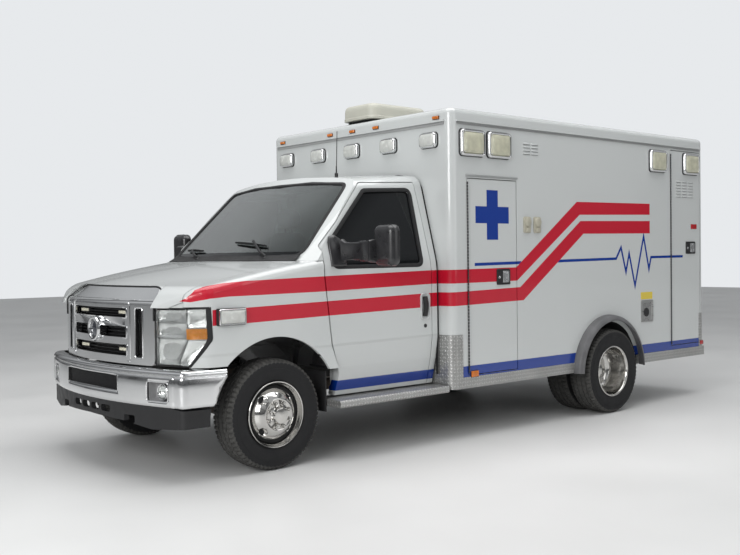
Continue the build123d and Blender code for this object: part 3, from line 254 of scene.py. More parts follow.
sill_foot = ((0.534, 0.472), (1.500, 0.472), (1.530, 0.470), (5.125, 0.470))
pulse_points = (
    (1.779, 1.344), (3.641, 1.368), (3.717, 1.469), (3.792, 1.245), (3.843, 1.413), (3.934, 1.115),
    (4.077, 1.571), (4.162, 1.264), (4.197, 1.376), (4.747, 1.379),
)
pulse_half = 0.012
pulse_gap = (2.330, 2.800)
plus_station, plus_height, plus_reach, plus_half = 1.988, 1.730, 0.195, 0.066
label_stations, label_heights = (4.025, 4.217), (0.985, 1.052)
# The cab's flank has a pressed line along it: (station, height) of its ends, half its width and its depth
pressed_line = ((0.380, 0.800), (1.500, 0.812))
pressed_half, pressed_depth = 0.012, 0.006
# (station of the wheel, radius, how far out) of the black wheelhouses
wheelhouses = ((0, 0.535, 0.985), (wheelbase, 0.447, 1.139))

paint = finish("body_paint", white[:3], 0.24, values={"Coat Weight": 0.7, "Coat Roughness": 0.06})
paint_x, paint_y, height_up = parts_of(paint, "Object")
faces_out, faces_back, faces_up = parts_of(paint, "Normal")
from_middle = abs(paint_x)
station_back = paint_y - axle_y


def drawn_line(points):
    """The height at each station of a line drawn through points."""
    line = points[0][1]
    for (start, low), (end, high) in zip(points, points[1:]):
        line = station_back.ranged(start, end, 0, high - low) + line
    return line


def within(value, low, high):
    """A mask of where a value lies between two others."""
    return (value > low) & (value < high)


def band(top, foot):
    """A mask of what lies between a band's two edges."""
    upright = within(height_up, drawn_line(foot), drawn_line(top))
    return within(station_back, foot[0][0], foot[-1][0]) & upright


def mitred(points, half):
    """The two edges of a line of one thickness, mitred at its corners."""
    edges = []
    for sign in (1, -1):
        runs = []
        for (start, low), (end, high) in zip(points, points[1:]):
            slope = (high - low) / (end - start)
            runs.append((slope, low - slope * start + sign * half * math.hypot(1, slope)))
        edge = [(points[0][0], runs[0][0] * points[0][0] + runs[0][1])]
        for (slope, lift), (next_slope, next_lift) in zip(runs, runs[1:]):
            corner = (lift - next_lift) / (next_slope - slope)
            edge.append((corner, slope * corner + lift))
        edge.append((points[-1][0], runs[-1][0] * points[-1][0] + runs[-1][1]))
        edges.append(edge)
    return edges


outer_faces = (faces_out * paint_x.maths("SIGN") > 0.12) | (faces_back < -0.3)
outer_faces &= from_middle > 0.866
on_left = paint_x > 1.0
off_station, off_height = abs(station_back - plus_station), abs(height_up - plus_height)
plus = (off_station < plus_half) & (off_height < plus_reach)
plus |= (off_height < plus_half) & (off_station < plus_reach)
blue = band(*mitred(pulse_points, pulse_half)) & (within(station_back, *pulse_gap) < 0.5)
blue |= band(sill_top, sill_foot) | (plus & on_left)
red = band(upper_band_top, upper_band_foot) | band(lower_band_top, lower_band_foot)
label = within(station_back, *label_stations) & within(height_up, *label_heights) & on_left
colour = white
for film, mask in ((royal_blue, blue), (crimson, red), (label_yellow, label)):
    colour = overlay(paint, colour, film, mask & outer_faces)
hidden = (faces_up < -0.7) & (height_up < 0.75)
for wheel_station, radius, reach in wheelhouses:
    off_centre = abs(station_back - wheel_station) ** 2 + abs(height_up - wheel_height) ** 2
    hidden |= (off_centre < radius**2) & (from_middle < reach)
colour = overlay(paint, colour, wheelhouse_black, hidden)
relief = worn(paint, 1.4, 0.006, (0.22, 0.26), 0.00003, base=colour)
rounded = node(paint, "Bevel", {"Radius": 0.004}, samples=4)
paint.node_tree.links.new(rounded.outputs[0], relief.inputs["Normal"])
ledge = (height_up - drawn_line(pressed_line)).ranged(
    -pressed_half, pressed_half, 0, 1, interpolation_type="SMOOTHSTEP"
)
ledge *= (station_back < 1.502) & (from_middle < 1.02)
stepped = node(paint, "Bump", {"Height": ledge, "Distance": pressed_depth, "Normal": relief.outputs[0]})
feed(paint, "Normal", stepped.outputs[0])


def dress(made, *names):
    """Gives CAD nodes a material."""
    for name in names:
        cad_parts[name].material_slots[0].material = made


dress(paint, "cab_shell", "front_fenders", "hood", "cab_door_left", "cab_door_right", "module_shell")
dress(paint, "street_front_door", "street_rear_door", "entry_door", "curb_rear_door")
dress(paint, "rear_door_left", "rear_door_right")

# Tyres: light-truck radials, one at each front wheel and twins at each rear wheel.
# Moulded black rubber: four grooves round the tread, notched shoulder blocks, a plain flank with a rim guard.
tyre_steps, notch_pitch, notch_depth, tread_sway = 264, 4, 0.011, 0.0018
tread_radius, flank_radius = 0.359, 0.343
# Half of the section: (across from the middle, radius, how much of a notch it takes)
tyre_section = (
    (0.0880, 0.214, 0), (0.0950, 0.222, 0), (0.0975, 0.230, 0), (0.1035, 0.236, 0), (0.1050, 0.243, 0),
    (0.1085, 0.254, 0), (0.1120, 0.274, 0), (0.1125, 0.290, 0), (0.1118, 0.307, 0), (0.1098, 0.308, 0),
    (0.1088, 0.326, 0), (0.1072, 0.340, 0), (0.1058, 0.346, 0.7), (0.1010, 0.357, 1), (0.0935, 0.3645, 1),
    (0.0725, 0.3688, 0.9), (0.0705, 0.3600, 0), (0.0625, 0.3602, 0), (0.0605, 0.3698, 0.5),
    (0.0300, 0.3712, 0.5), (0.0280, 0.3622, 0), (0.0205, 0.3622, 0), (0.0185, 0.3716, 0.25),
    (0.0020, 0.3720, 0.25),
)


def at(x, station, height):
    """A point by its distance from the middle, its station and its height."""
    return Vector((x, axle_y + station, height))


def around_axle(station, across, radius, angle):
    """A point at an angle round the axle line at a station."""
    return at(across, station + radius * math.sin(angle), wheel_height + radius * math.cos(angle))


def lofted(mesh, rows, closed=False, round_ends=False, capped=False):
    """Skins rows of points.

    closed joins the last row to the first, round_ends joins each row's ends, capped fills the end rows.
    """
    laid = [[mesh.verts.new(point) for point in row] for row in rows]
    for row, other in list(zip(laid, laid[1:])) + ([(laid[-1], laid[0])] if closed else []):
        for index in range(len(row) if round_ends else len(row) - 1):
            after = (index + 1) % len(row)
            mesh.faces.new((row[index], row[after], other[after], other[index]))
    if capped:
        mesh.faces.new(laid[0])
        mesh.faces.new(reversed(laid[-1]))


def built(name, mesh, made, body="chassis", sharp=35):
    """Closes a mesh as a piece that rides on a body, with its materials and slot, sharp past an angle."""
    bmesh.ops.recalc_face_normals(mesh, faces=mesh.faces)
    data = bpy.data.meshes.new(name)
    mesh.to_mesh(data)
    mesh.free()
    for one in made if isinstance(made, tuple) else (made,):
        data.materials.append(one)
    data.shade_smooth()
    if sharp:
        data.set_sharp_from_angle(angle=math.radians(sharp))
    thing = bpy.data.objects.new(name, data)
    bpy.context.collection.objects.link(thing)
    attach(thing, body)
    return thing


rubber = finish(
    "tyre_rubber", (0.017, 0.017, 0.018), 0.8, (0.09, 0.16, (0.62, 0.9), 0.0005), {"Specular IOR Level": 0.3}
)
tread_rubber = finish(
    "tread_rubber", (0.062, 0.061, 0.058), 0.85, (0.03, 0.3, (0.7, 0.95), 0.0006), {"Specular IOR Level": 0.3}
)
# (piece, CAD node, body, station, distances of its tyres from the middle)
tyres = (
    ("front_tyre_left", "tyre_front_left", "wheel_front_left", 0, (0.881,)),
    ("front_tyre_right", "tyre_front_right", "wheel_front_right", 0, (-0.881,)),
    ("rear_tyres_left", "tyres_rear_left", "wheels_rear_left", wheelbase, (0.840, 1.098)),
    ("rear_tyres_right", "tyres_rear_right", "wheels_rear_right", wheelbase, (-0.840, -1.098)),
)
whole_section = [*tyre_section, *((-across, radius, take) for across, radius, take in reversed(tyre_section))]
for name, cad, body, station, middles in tyres:
    mesh = bmesh.new()
    for middle in middles:
        rows = []
        for step in range(tyre_steps):
            sway = tread_sway * math.sin(math.pi * step / notch_pitch)
            row = []
            for across, radius, take in whole_section:
                depth = 0 if step % notch_pitch else notch_depth * take
                shift = sway if radius > tread_radius and abs(across) < 0.08 else 0
                turn = 2 * math.pi * step / tyre_steps
                row.append(around_axle(station, middle + across + shift, radius - depth, turn))
            rows.append(row)
        lofted(mesh, rows, closed=True)
    hub = around_axle(station, 0, 0, 0)
    for face in mesh.faces:
        place = face.calc_center_median() - hub
        face.material_index = int(math.hypot(place.y, place.z) > flank_radius)
    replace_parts(built(name, mesh, (rubber, tread_rubber), body, sharp=38), cad)

# Wheels: pressed steel, each under a polished stainless liner with a rolled lip.
# The front liner swells out to its hub; the rear one is a deep dish. Eight capped nuts and four hand holes.
wheel_steps, hand_holes, nut_count, nut_circle = 96, 4, 8, 0.083
hole_circle, hole_half, hole_turn = 0.148, 0.0200, 0.21
# (distance outward from the wheel's middle, radius)
front_liner = (
    (-0.100, 0.222), (-0.096, 0.210), (0.096, 0.210), (0.100, 0.2235), (0.1060, 0.2240), (0.1095, 0.2210),
    (0.1085, 0.2150), (0.1000, 0.2100), (0.0930, 0.2085), (0.0880, 0.2040), (0.0800, 0.1990),
    (0.0640, 0.1950), (0.0580, 0.1890), (0.0630, 0.1800), (0.0800, 0.1680), (0.1010, 0.1520),
    (0.1210, 0.1310), (0.1330, 0.1120), (0.1355, 0.1040), (0.1330, 0.1000), (0.1330, 0.0680),
    (0.1380, 0.0610), (0.1600, 0.0560), (0.1670, 0.0520), (0.1690, 0.0400), (0.1710, 0.0004),
)
rear_liner = (
    (-0.234, 0.222), (-0.226, 0.210), (0.222, 0.210), (0.2270, 0.2235), (0.2315, 0.2240), (0.2338, 0.2205),
    (0.2328, 0.2140), (0.2250, 0.2090), (0.2180, 0.2060), (0.2000, 0.2030), (0.0800, 0.1960),
    (0.0560, 0.1900), (0.0420, 0.1800), (0.0340, 0.1660), (0.0280, 0.1500), (0.0240, 0.1250),
    (0.0230, 0.1040), (0.0270, 0.1000), (0.0270, 0.0680), (0.0320, 0.0620), (0.0940, 0.0560),
    (0.1020, 0.0500), (0.1050, 0.0380), (0.1070, 0.0004),
)
nut_section = (
    (0, 0.0165), (0.004, 0.0165), (0.0045, 0.0135), (0.020, 0.0130), (0.026, 0.0095), (0.0285, 0.0005),
)


def spun(mesh, station, middle, outward, section, steps):
    """A section turned round the axle line; section pairs are (distance outward, radius)."""
    rows = []
    for step in range(steps):
        turn = 2 * math.pi * step / steps
        ring = [(middle + outward * along, radius) for along, radius in section]
        rows.append([around_axle(station, across, radius, turn) for across, radius in ring])
    lofted(mesh, rows, closed=True)


def modified(thing, kind, **settings):
    """Adds a modifier with its settings."""
    added = thing.modifiers.new(kind.lower(), kind)
    for setting, value in settings.items():
        setattr(added, setting, value)


def cut_by(thing, name, mesh, body="chassis"):
    """Takes a hidden solid out of a piece."""
    cutter = built(name, mesh, chrome, body, sharp=None)
    cutter.hide_render = cutter.hide_viewport = True
    modified(thing, "BOOLEAN", operation="DIFFERENCE", object=cutter, solver="EXACT")


chrome = finish("chrome", (0.70, 0.705, 0.71), 0.12, (0.35, 0.05, (0.07, 0.16), 0.00006), {"Metallic": 1.0})
liner_steel = finish(
    "polished_liner", (0.56, 0.55, 0.53), 0.12, (0.2, 0.06, (0.07, 0.18), 0.0001), {"Metallic": 1.0}
)
hollow_black = finish("black_paint", (0.012, 0.012, 0.013), 0.6, (0.2, 0.2, (0.5, 0.8), 0.0004))
# (piece, CAD node, body, station, middle, outward, section, where the nuts stand)
wheels = (
    ("front_wheel_left", "rim_front_left", "wheel_front_left", 0, 0.881, 1, front_liner, 0.1330),
    ("front_wheel_right", "rim_front_right", "wheel_front_right", 0, -0.881, -1, front_liner, 0.1330),
    ("rear_wheels_left", "rims_rear_left", "wheels_rear_left", wheelbase, 0.969, 1, rear_liner, 0.0270),
    ("rear_wheels_right", "rims_rear_right", "wheels_rear_right", wheelbase, -0.969, -1, rear_liner, 0.0270),
)
for name, cad, body, station, middle, outward, section, nut_base in wheels:
    mesh, holes, nuts, drum = (bmesh.new() for _ in range(4))
    spun(mesh, station, middle, outward, section, wheel_steps)
    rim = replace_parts(built(name, mesh, liner_steel, body, sharp=50), cad)
    for index in range(hand_holes):
        middle_turn = 2 * math.pi * (index + 0.5) / hand_holes
        rows = []
        for along in (nut_base - 0.075, nut_base + 0.03):
            row = []
            for corner in range(24):
                turn = 2 * math.pi * corner / 24
                radius = hole_circle + hole_half * math.cos(turn)
                angle = middle_turn + hole_turn * math.sin(turn)
                row.append(around_axle(station, middle + outward * along, radius, angle))
            rows.append(row)
        lofted(holes, rows, round_ends=True, capped=True)
    cut_by(rim, name + "_holes", holes, body)
    for index in range(nut_count):
        angle = 2 * math.pi * (index + 0.5) / nut_count
        centre = around_axle(station, middle + outward * nut_base, nut_circle, angle)
        rows = []
        for along, radius in nut_section:
            row = []
            for corner in range(12):
                turn = 2 * math.pi * corner / 12
                reach = radius * (1 if corner % 2 or along < 0.0042 else 0.9)
                row.append(centre + Vector((outward * along, reach * math.sin(turn), reach * math.cos(turn))))
            rows.append(row)
        lofted(nuts, rows, round_ends=True)
    built(name + "_nuts", nuts, liner_steel, body, sharp=40)
    drum_section = ((nut_base - 0.12, 0.19), (nut_base - 0.06, 0.19), (nut_base - 0.055, 0.05))
    spun(drum, station, middle, outward, drum_section, 48)
    built(name + "_drum", drum, hollow_black, body, sharp=None)

# Grille: one moulding in chrome plate round three wide openings and two tall ones, its header bent back.
# Black louvre blades stand behind the wide openings and black ribs fill the tall ones. A plain chrome ring
# is pressed on at the middle, and a rubber seal lies between the header and the hood.
grille_front, grille_bow = -0.800, 2.6
wide_openings = ((0.784, 0.853), (0.905, 0.973), (1.038, 1.094))
tall_opening, tall_middle = 0.5175, 0.937
header_end, header_top = 0.6585, 1.2345
header_corner_x, header_corner_height, corner_reach, corner_rise = 0.490, 1.130, 0.171, 0.1055
badge_height = 0.948
badge_profile = (
    (0.080, -0.040), (0.084, 0.006), (0.086, 0.014), (0.082, 0.024), (0.074, 0.029), (0.064, 0.027),
    (0.060, 0.018), (0.059, 0.010),
)
dial_profile = ((0.0595, 0.010), (0.050, 0.013), (0.035, 0.017), (0.018, 0.0195), (0.0004, 0.020))
frontward, backward, skyward = Vector((0, -1, 0)), Vector((0, 1, 0)), Vector((0, 0, 1))


def grille_station(x, drawn_in=0):
    """The station of the grille's bowed face, or of a face some way behind it."""
    return grille_front + drawn_in + grille_bow - math.sqrt(grille_bow**2 - x * x)


def spread(low, high, count):
    """Even values from low to high."""
    return [low + (high - low) * index / (count - 1) for index in range(count)]


def rounded_ring(half_x, half_y, corner, steps=5):
    """Points round a rectangle with rounded corners, about its centre."""
    ring = []
    corner = min(corner, half_x, half_y)
    for turn, (side_x, side_y) in enumerate(((1, 1), (-1, 1), (-1, -1), (1, -1))):
        for angle in spread(math.pi / 2 * turn, math.pi / 2 * (turn + 1), steps + 1):
            x = side_x * (half_x - corner) + corner * math.cos(angle)
            ring.append((x, side_y * (half_y - corner) + corner * math.sin(angle)))
    return ring


def pressed(mesh, place, half_x, half_y, corner, layers, steps=5, capped=True):
    """Rings of a rounded rectangle stacked along a place's third axis; layers are (drawn in, out)."""
    rows = []
    for drawn_in, out in layers:
        ring = rounded_ring(half_x - drawn_in, half_y - drawn_in, max(corner - drawn_in, 0.0008), steps)
        rows.append([place @ Vector((x, y, out)) for x, y in ring])
    lofted(mesh, rows, round_ends=True, capped=capped)


def button(mesh, place, radius, layers, steps=5):
    """A round stack of layers, as pressed makes a rounded one."""
    pressed(mesh, place, radius, radius, radius, layers, steps)


def turned(mesh, place, profile, count):
    """A profile of (radius, out) turned about a place's third axis."""
    turns = [2 * math.pi * index / count for index in range(count)]
    rows = []
    for radius, out in profile:
        ring = [(radius * math.cos(turn), radius * math.sin(turn)) for turn in turns]
        rows.append([place @ Vector((x, y, out)) for x, y in ring])
    lofted(mesh, rows, round_ends=True)


def facing(point, outward, up=(0, 0, 1)):
    """A place at a point whose third axis looks outward and whose second axis leans to up."""
    third = Vector(outward).normalized()
    first = Vector(up).cross(third).normalized()
    return Matrix.Translation(point) @ Matrix((first, third.cross(first), third)).transposed().to_4x4()


def swept(mesh, points, section, ups, closed=False):
    """A section of (side, out) pairs carried along points; ups are the directions of out."""
    rows = []
    count = len(points)
    for index, point in enumerate(points):
        before = points[index - 1] if closed or index else point
        after = points[(index + 1) % count] if closed or index < count - 1 else point
        along = (after - before).normalized()
        out = ups[index] if isinstance(ups, list) else Vector(ups)
        out = (out - along * out.dot(along)).normalized()
        side = along.cross(out)
        rows.append([point + side * across + out * rise for across, rise in section])
    lofted(mesh, rows, closed=closed, round_ends=True, capped=not closed)


def rimmed(mesh, station_at, middle, half_x, half_y, corner, section, out=(0, -1, 0)):
    """A bead round a rounded opening in a bowed face; middle is (from the vehicle's middle, height)."""
    ring = [(middle[0] + x, middle[1] + y) for x, y in rounded_ring(half_x, half_y, corner)]
    swept(mesh, [at(x, station_at(x), height) for x, height in ring], section, out, closed=True)


def landed(name, start, direction):
    """Where a ray meets a CAD node and the face's normal there, or None twice."""
    hit, place, normal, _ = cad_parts[name].ray_cast(start, direction)
    return (place, normal) if hit else (None, None)


def softened(name, width):
    """Rounds the edges of a CAD node that is shown."""
    modified(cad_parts[name], "BEVEL", width=width, segments=2, limit_method="ANGLE")


black_plastic = finish(
    "black_plastic", (0.018, 0.018, 0.019), 0.5, (0.05, 0.15, (0.42, 0.6), 0.00025),
    {"Specular IOR Level": 0.4},
)
# Black seal rubber; the same finish also paints the shade in the vents' slots.
seal_rubber_and_slot_shade = finish("seal_rubber_and_slot_shade", (0.012, 0.012, 0.013), 0.7, (0.08, 0.2, (0.6, 0.8), 0.0003))
dress(chrome, "grille")
softened("grille", 0.004)

louvres = bmesh.new()
blade = ((-0.010, -0.002), (0.010, -0.0045), (0.011, 0.0), (-0.010, 0.002))
for foot, top in wide_openings:
    for share in (1 / 6, 3 / 6, 5 / 6):
        height = foot + (top - foot) * share
        line = [at(x, grille_station(x, 0.062), height) for x in spread(-0.40, 0.40, 17)]
        swept(louvres, line, blade, skyward)
rib_section = ((-0.007, -0.0018), (0.007, -0.003), (0.007, 0.0018), (-0.007, 0.003))
for side in (1, -1):
    for height in spread(0.783, 1.088, 26):
        line = [at(side * x, grille_station(x, 0.050), height) for x in (0.478, 0.518, 0.558)]
        swept(louvres, line, rib_section, skyward)
built("grille_louvres", louvres, black_plastic)

backing = bmesh.new()
xs = spread(-0.6, 0.6, 25)
lofted(backing, [[at(x, grille_station(x, 0.085), height) for x in xs] for height in (0.745, 1.13)])
core = finish(
    "radiator_core", (0.010, 0.010, 0.011), 0.65, (0.3, 0.2, (0.6, 0.75), 0.0002), ribs=(130, 0.002, "X")
)
built("radiator_core", backing, core)

beads = bmesh.new()
lip = ((-0.004, -0.002), (-0.004, 0.003), (0.0, 0.0055), (0.004, 0.003), (0.004, -0.002))
for foot, top in ((0.782, 0.855), (0.903, 0.975), (1.036, 1.096)):
    rimmed(beads, grille_station, (0, (foot + top) / 2), 0.390, (top - foot) / 2 + 0.005, 0.014, lip)
for side in (1, -1):
    middle = (side * tall_opening, tall_middle)
    rimmed(beads, grille_station, middle, 0.0375, 0.165, 0.018, lip, (side * 0.2, -1, 0))
frame_bead = ((-0.006, -0.002), (-0.003, 0.004), (0.003, 0.004), (0.006, -0.002))
rimmed(beads, grille_station, (0, 0.939), 0.425, 0.192, 0.02, frame_bead)
built("grille_beads", beads, chrome)

ring_mesh, dial_mesh = bmesh.new(), bmesh.new()
badge_place = facing(at(0, grille_front, badge_height), frontward)
turned(ring_mesh, badge_place, badge_profile, 48)
built("grille_ring", ring_mesh, chrome)
turned(dial_mesh, badge_place, dial_profile, 48)
dial_finish = finish(
    "ring_centre", (0.055, 0.06, 0.075), 0.16, (0.05, 0.08, (0.12, 0.22), 0.0001),
    {"Metallic": 0.5, "Coat Weight": 0.6},
)
built("grille_ring_centre", dial_mesh, dial_finish)


def on_header(x, height, off):
    """A point a little off the grille's outer face, and the face's normal there."""
    place, normal = landed("grille", at(x, -1.2, height), backward)
    return (place + normal * off if place else None), normal


def header_corner(side, share):
    """The rounded corner of the header's visible edge, from its top to its end."""
    angle = math.pi / 2 * (1 - share)
    x = header_corner_x + corner_reach * math.cos(angle)
    return side * x, header_corner_height + corner_rise * math.sin(angle)


header_path = [(-header_end, 1.02), (-header_end, 1.08)]
header_path += [header_corner(-1, share) for share in spread(1, 0, 11)]
header_path += [(x, header_top) for x in spread(-0.45, 0.45, 19)]
header_path += [header_corner(1, share) for share in spread(0, 1, 11)]
header_path += [(header_end, 1.08), (header_end, 1.02)]
seal_section = ((-0.005, -0.006), (-0.005, 0.003), (0.0, 0.006), (0.005, 0.003), (0.005, -0.006))
spots = [on_header(min(max(x, -header_end), header_end), height, 0.001) for x, height in header_path]
spots = [(place, normal) for place, normal in spots if place is not None]
seal_mesh = bmesh.new()
swept(seal_mesh, [place for place, _ in spots], seal_section, [normal for _, normal in spots])
built("hood_seal", seal_mesh, seal_rubber_and_slot_shade)

# Hood corners: the painted sheet that turns down over the header's ends and in over the lamps.
# They are pressed with the hood, so they ride on it. A rubber strip fills the gap along each fender.
sheet_reach, sheet_drop = 0.170, 0.104
# (from the middle, station, top) at the inner and outer end of the lip over a lamp, and the foot of it
lip_inner, lip_outer, lip_foot = Vector((0.684, -0.7405, 1.118)), Vector((0.878, -0.6285, 1.166)), 1.1075
fender_edge, gap_middle, gap_ends = 0.893, 0.8835, (-0.615, 0.185)
strip = ((-0.0042, -0.008), (-0.0042, 0.0005), (0.0042, 0.0005), (0.0042, -0.008))
corner_sheets, gap_seal = bmesh.new(), bmesh.new()
for side in (1, -1):
    rows = []
    for share in spread(0, 1, 11):
        x, height = header_corner(side, share)
        edge_x = side * (header_corner_x + sheet_reach * min(1, 2 * share))
        edge_height = header_top - sheet_drop * max(0, 2 * share - 1)
        row = []
        for across in (0.0, 0.34, 0.67, 1.0):
            spot_x = side * min(abs(x + (edge_x - x) * across), header_end)
            spot_height = min(height + (edge_height - height) * across, header_top)
            row.append(on_header(spot_x, spot_height, 0.0035)[0])
        if all(point is not None for point in row):
            rows.append(row)
    lofted(corner_sheets, rows)
    rows = []
    for share in spread(0, 1, 9):
        x, station, top = lip_inner.lerp(lip_outer, share)
        levels = ((station, lip_foot), (station + 0.002, (lip_foot + top) / 2), (station + 0.006, top))
        rows.append([at(side * x, *level) for level in levels])
    lofted(corner_sheets, rows)
    points = []
    for station in spread(*gap_ends, 31):
        place, _ = landed("front_fenders", at(side * fender_edge, station, 1.6), -skyward)
        if place and place.z > 1.1:
            points.append(Vector((side * gap_middle, place.y, place.z - 0.0005)))
    swept(gap_seal, points, strip, skyward)
built("hood_corners", corner_sheets, paint, "hood_lid")
built("fender_gap_seal", gap_seal, seal_rubber_and_slot_shade)

# LED heads: four slim warning lights in the ends of the upper and lower grille openings.
# Pale diffusing lenses in black housings, screwed to the louvre carrier.
pale_lens = finish(
    "pale_lens", (0.80, 0.77, 0.62), 0.25, (0.03, 0.08, (0.2, 0.35), 0.0003), {"Coat Weight": 0.5},
    (90, 0.0008, "X"),
)
housing_layers = ((0, -0.02), (0, 0.006), (0.002, 0.008), (0.005, 0.008), (0.0065, 0.004))
led_layers = ((0, 0.003), (0.0005, 0.010), (0.003, 0.0125), (0.006, 0.0132))
housings, lenses = bmesh.new(), bmesh.new()
for x in (-0.290, 0.290):
    for height in (1.066, 0.819):
        place = facing(at(x, grille_station(x, 0.046), height), frontward)
        pressed(housings, place, 0.062, 0.0175, 0.006, housing_layers)
        pressed(lenses, place, 0.054, 0.0105, 0.004, led_layers)
built("led_housings", housings, black_plastic)
built("led_lenses", lenses, pale_lens)

# Headlamps: a clear polycarbonate lens wrapped round the corner, over two columns of faceted reflectors.
# The outer column's middle cell is the amber turn lamp. A black bezel follows the rear edge and a rubber
# gasket the whole rim.
lens_plan = ((0.664, -0.705), (0.905, -0.612), (0.984, -0.500), (0.990, -0.470))
lens_rear = ((0.730, -0.601), (0.904, -0.484), (1.105, -0.494))
lens_columns = 30
# (shares of the width, heights, depth of the rim, dish, columns, rows)
lamp_cells = (
    ((0.005, 0.58), (1.015, 1.092), 0.022, 0.018, 14, 8),
    ((0.005, 0.58), (0.915, 1.005), 0.022, 0.016, 16, 9),
    ((0.005, 0.58), (0.748, 0.905), 0.022, 0.022, 14, 16),
    ((0.61, 0.955), (0.982, 1.092), 0.020, 0.008, 8, 6),
    ((0.61, 0.955), (0.748, 0.898), 0.020, 0.010, 8, 10),
)
facet_depth = 0.0022
# (share of the width, height) round the lens
lens_rim = [(share, 0.735) for share in spread(0, 1, 6)]
lens_rim += [(1.0, height) for height in (0.79, 0.85, 0.897, 0.915, 0.98, 1.04, 1.102)]
lens_rim += [(share, 1.102) for share in spread(0.8, 0, 5)] + [(0.0, 0.98), (0.0, 0.86)]
gasket_section = ((-0.005, -0.004), (-0.005, 0.001), (0.0, 0.0022), (0.005, 0.001), (0.005, -0.004))
# (share of the width, off the lens) across the bezel at the rear edge
rear_bezel = ((0.925, -0.001), (0.932, 0.003), (0.965, 0.0045), (0.997, 0.003), (1.0, -0.003))


def filleted(points, radius, steps=6):
    """A path through points with its inner corners rounded."""
    points = [Vector(point) for point in points]
    path = [points[0]]
    for before, corner, after in zip(points, points[1:], points[2:]):
        first, last = before - corner, after - corner
        half = math.acos(max(-1, min(1, first.normalized().dot(last.normalized())))) / 2
        reach = min(radius / math.tan(half), 0.45 * first.length, 0.45 * last.length)
        start, end = corner + first.normalized() * reach, corner + last.normalized() * reach
        for share in spread(0, 1, steps + 1):
            path.append(start * (1 - share) ** 2 + corner * (2 * share * (1 - share)) + end * share**2)
    return path + [points[-1]]


def sampled(path, count, until):
    """Even points along a path, as far as the station given."""
    cut = [path[0]]
    for start, end in zip(path, path[1:]):
        if end.y > until:
            cut.append(start + (end - start) * ((until - start.y) / (end.y - start.y)))
            break
        cut.append(end)
    lengths = [0]
    for start, end in zip(cut, cut[1:]):
        lengths.append(lengths[-1] + (end - start).length)
    points = []
    for wanted in spread(0, lengths[-1], count):
        place = max(step for step, length in enumerate(lengths[:-1]) if length <= wanted + 1e-9)
        share = (wanted - lengths[place]) / (lengths[place + 1] - lengths[place])
        points.append(cut[place] + (cut[place + 1] - cut[place]) * share)
    return points


def between(points, value):
    """The second number of a line through points at a value of the first."""
    for (start, low), (end, high) in zip(points, points[1:]):
        if value <= end:
            return low + (high - low) * (value - start) / (end - start)
    return points[-1][1]


lens_path = filleted(lens_plan, 0.12)


def on_lens(side, share, height, depth=0):
    """A point of the lamp at a share of its width, some way in from the lens, and the way out of it."""
    row = sampled(lens_path, lens_columns, between(lens_rear, height))
    index = min(int(share * (lens_columns - 1)), lens_columns - 2)
    along = row[index + 1] - row[index]
    place = row[index] + along * (share * (lens_columns - 1) - index)
    out = Vector((along.y, -along.x)).normalized()
    place -= out * depth
    return at(side * place.x, place.y, height), Vector((side * out.x, out.y, 0))


def lamp_sheet(mesh, side, shares, heights, depth, dish=0, across=12, upright=8, facet=0):
    """A patch of the lamp, some way in from the lens and hollowed by a dish."""
    rows = []
    for level in range(upright + 1):
        v = level / upright
        row = []
        for step in range(across + 1):
            u = step / across
            hollow = dish * (1 - (2 * u - 1) ** 2) * (1 - (2 * v - 1) ** 2) + facet * ((step + level) % 2)
            share, height = (low + (high - low) * part for (low, high), part in ((shares, u), (heights, v)))
            row.append(on_lens(side, share, height, depth + hollow)[0])
        rows.append(row)
    lofted(mesh, rows)


clear_lens = finish(
    "clear_lens", (0.93, 0.94, 0.93), 0.02, (0.25, 0.01, (0.015, 0.05), 0.00002),
    {"Transmission Weight": 1.0, "IOR": 1.35},
)
reflector = finish("reflector", (0.82, 0.83, 0.83), 0.14, (0.02, 0.1, (0.06, 0.2), 0.0006), {"Metallic": 0.7})
amber_lens = finish(
    "amber_lens", (0.80, 0.27, 0.012), 0.22, (0.03, 0.12, (0.16, 0.32), 0.0005), {"Coat Weight": 0.6},
    (70, 0.0008, "X"),
)
lens_mesh, rims, bowls, ambers, gaskets = (bmesh.new() for _ in range(5))
for side in (1, -1):
    lamp_sheet(lens_mesh, side, (0, 1), (0.7335, 1.1035), 0.0006, across=lens_columns, upright=12)
    lamp_sheet(rims, side, (0.0, 1.0), (0.738, 1.100), 0.034, across=16, upright=3)
    for *cell, columns, levels in lamp_cells:
        lamp_sheet(bowls, side, *cell, columns, levels, facet_depth)
    lamp_sheet(ambers, side, (0.585, 0.965), (0.906, 0.973), 0.012, 0.004, 10, 4)
    edge = [on_lens(side, min(share, 0.999), height) for share, height in lens_rim]
    swept(gaskets, [place for place, _ in edge], gasket_section, [out for _, out in edge], closed=True)
    rows = []
    for height in spread(0.736, 1.098, 13):
        rows.append([on_lens(side, min(share, 0.999), height, -lift)[0] for share, lift in rear_bezel])
    lofted(gaskets, rows)
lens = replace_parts(built("headlamp_lenses", lens_mesh, clear_lens), "headlamps")
modified(lens, "SOLIDIFY", thickness=0.0025, offset=-1)
built("headlamp_rims", rims, reflector, sharp=20)
built("headlamp_bowls", bowls, reflector, sharp=4)
built("turn_lamps", ambers, amber_lens, sharp=20)
built("headlamp_bezels", gaskets, seal_rubber_and_slot_shade)

# Front bumper: pressed steel in bright chrome, with a black expanded-metal mesh behind its middle opening.
# A round fog lamp stands in the outer half of each recess. The valance below is grained black plastic.
bumper_front, bumper_bow = -0.866, 2.8
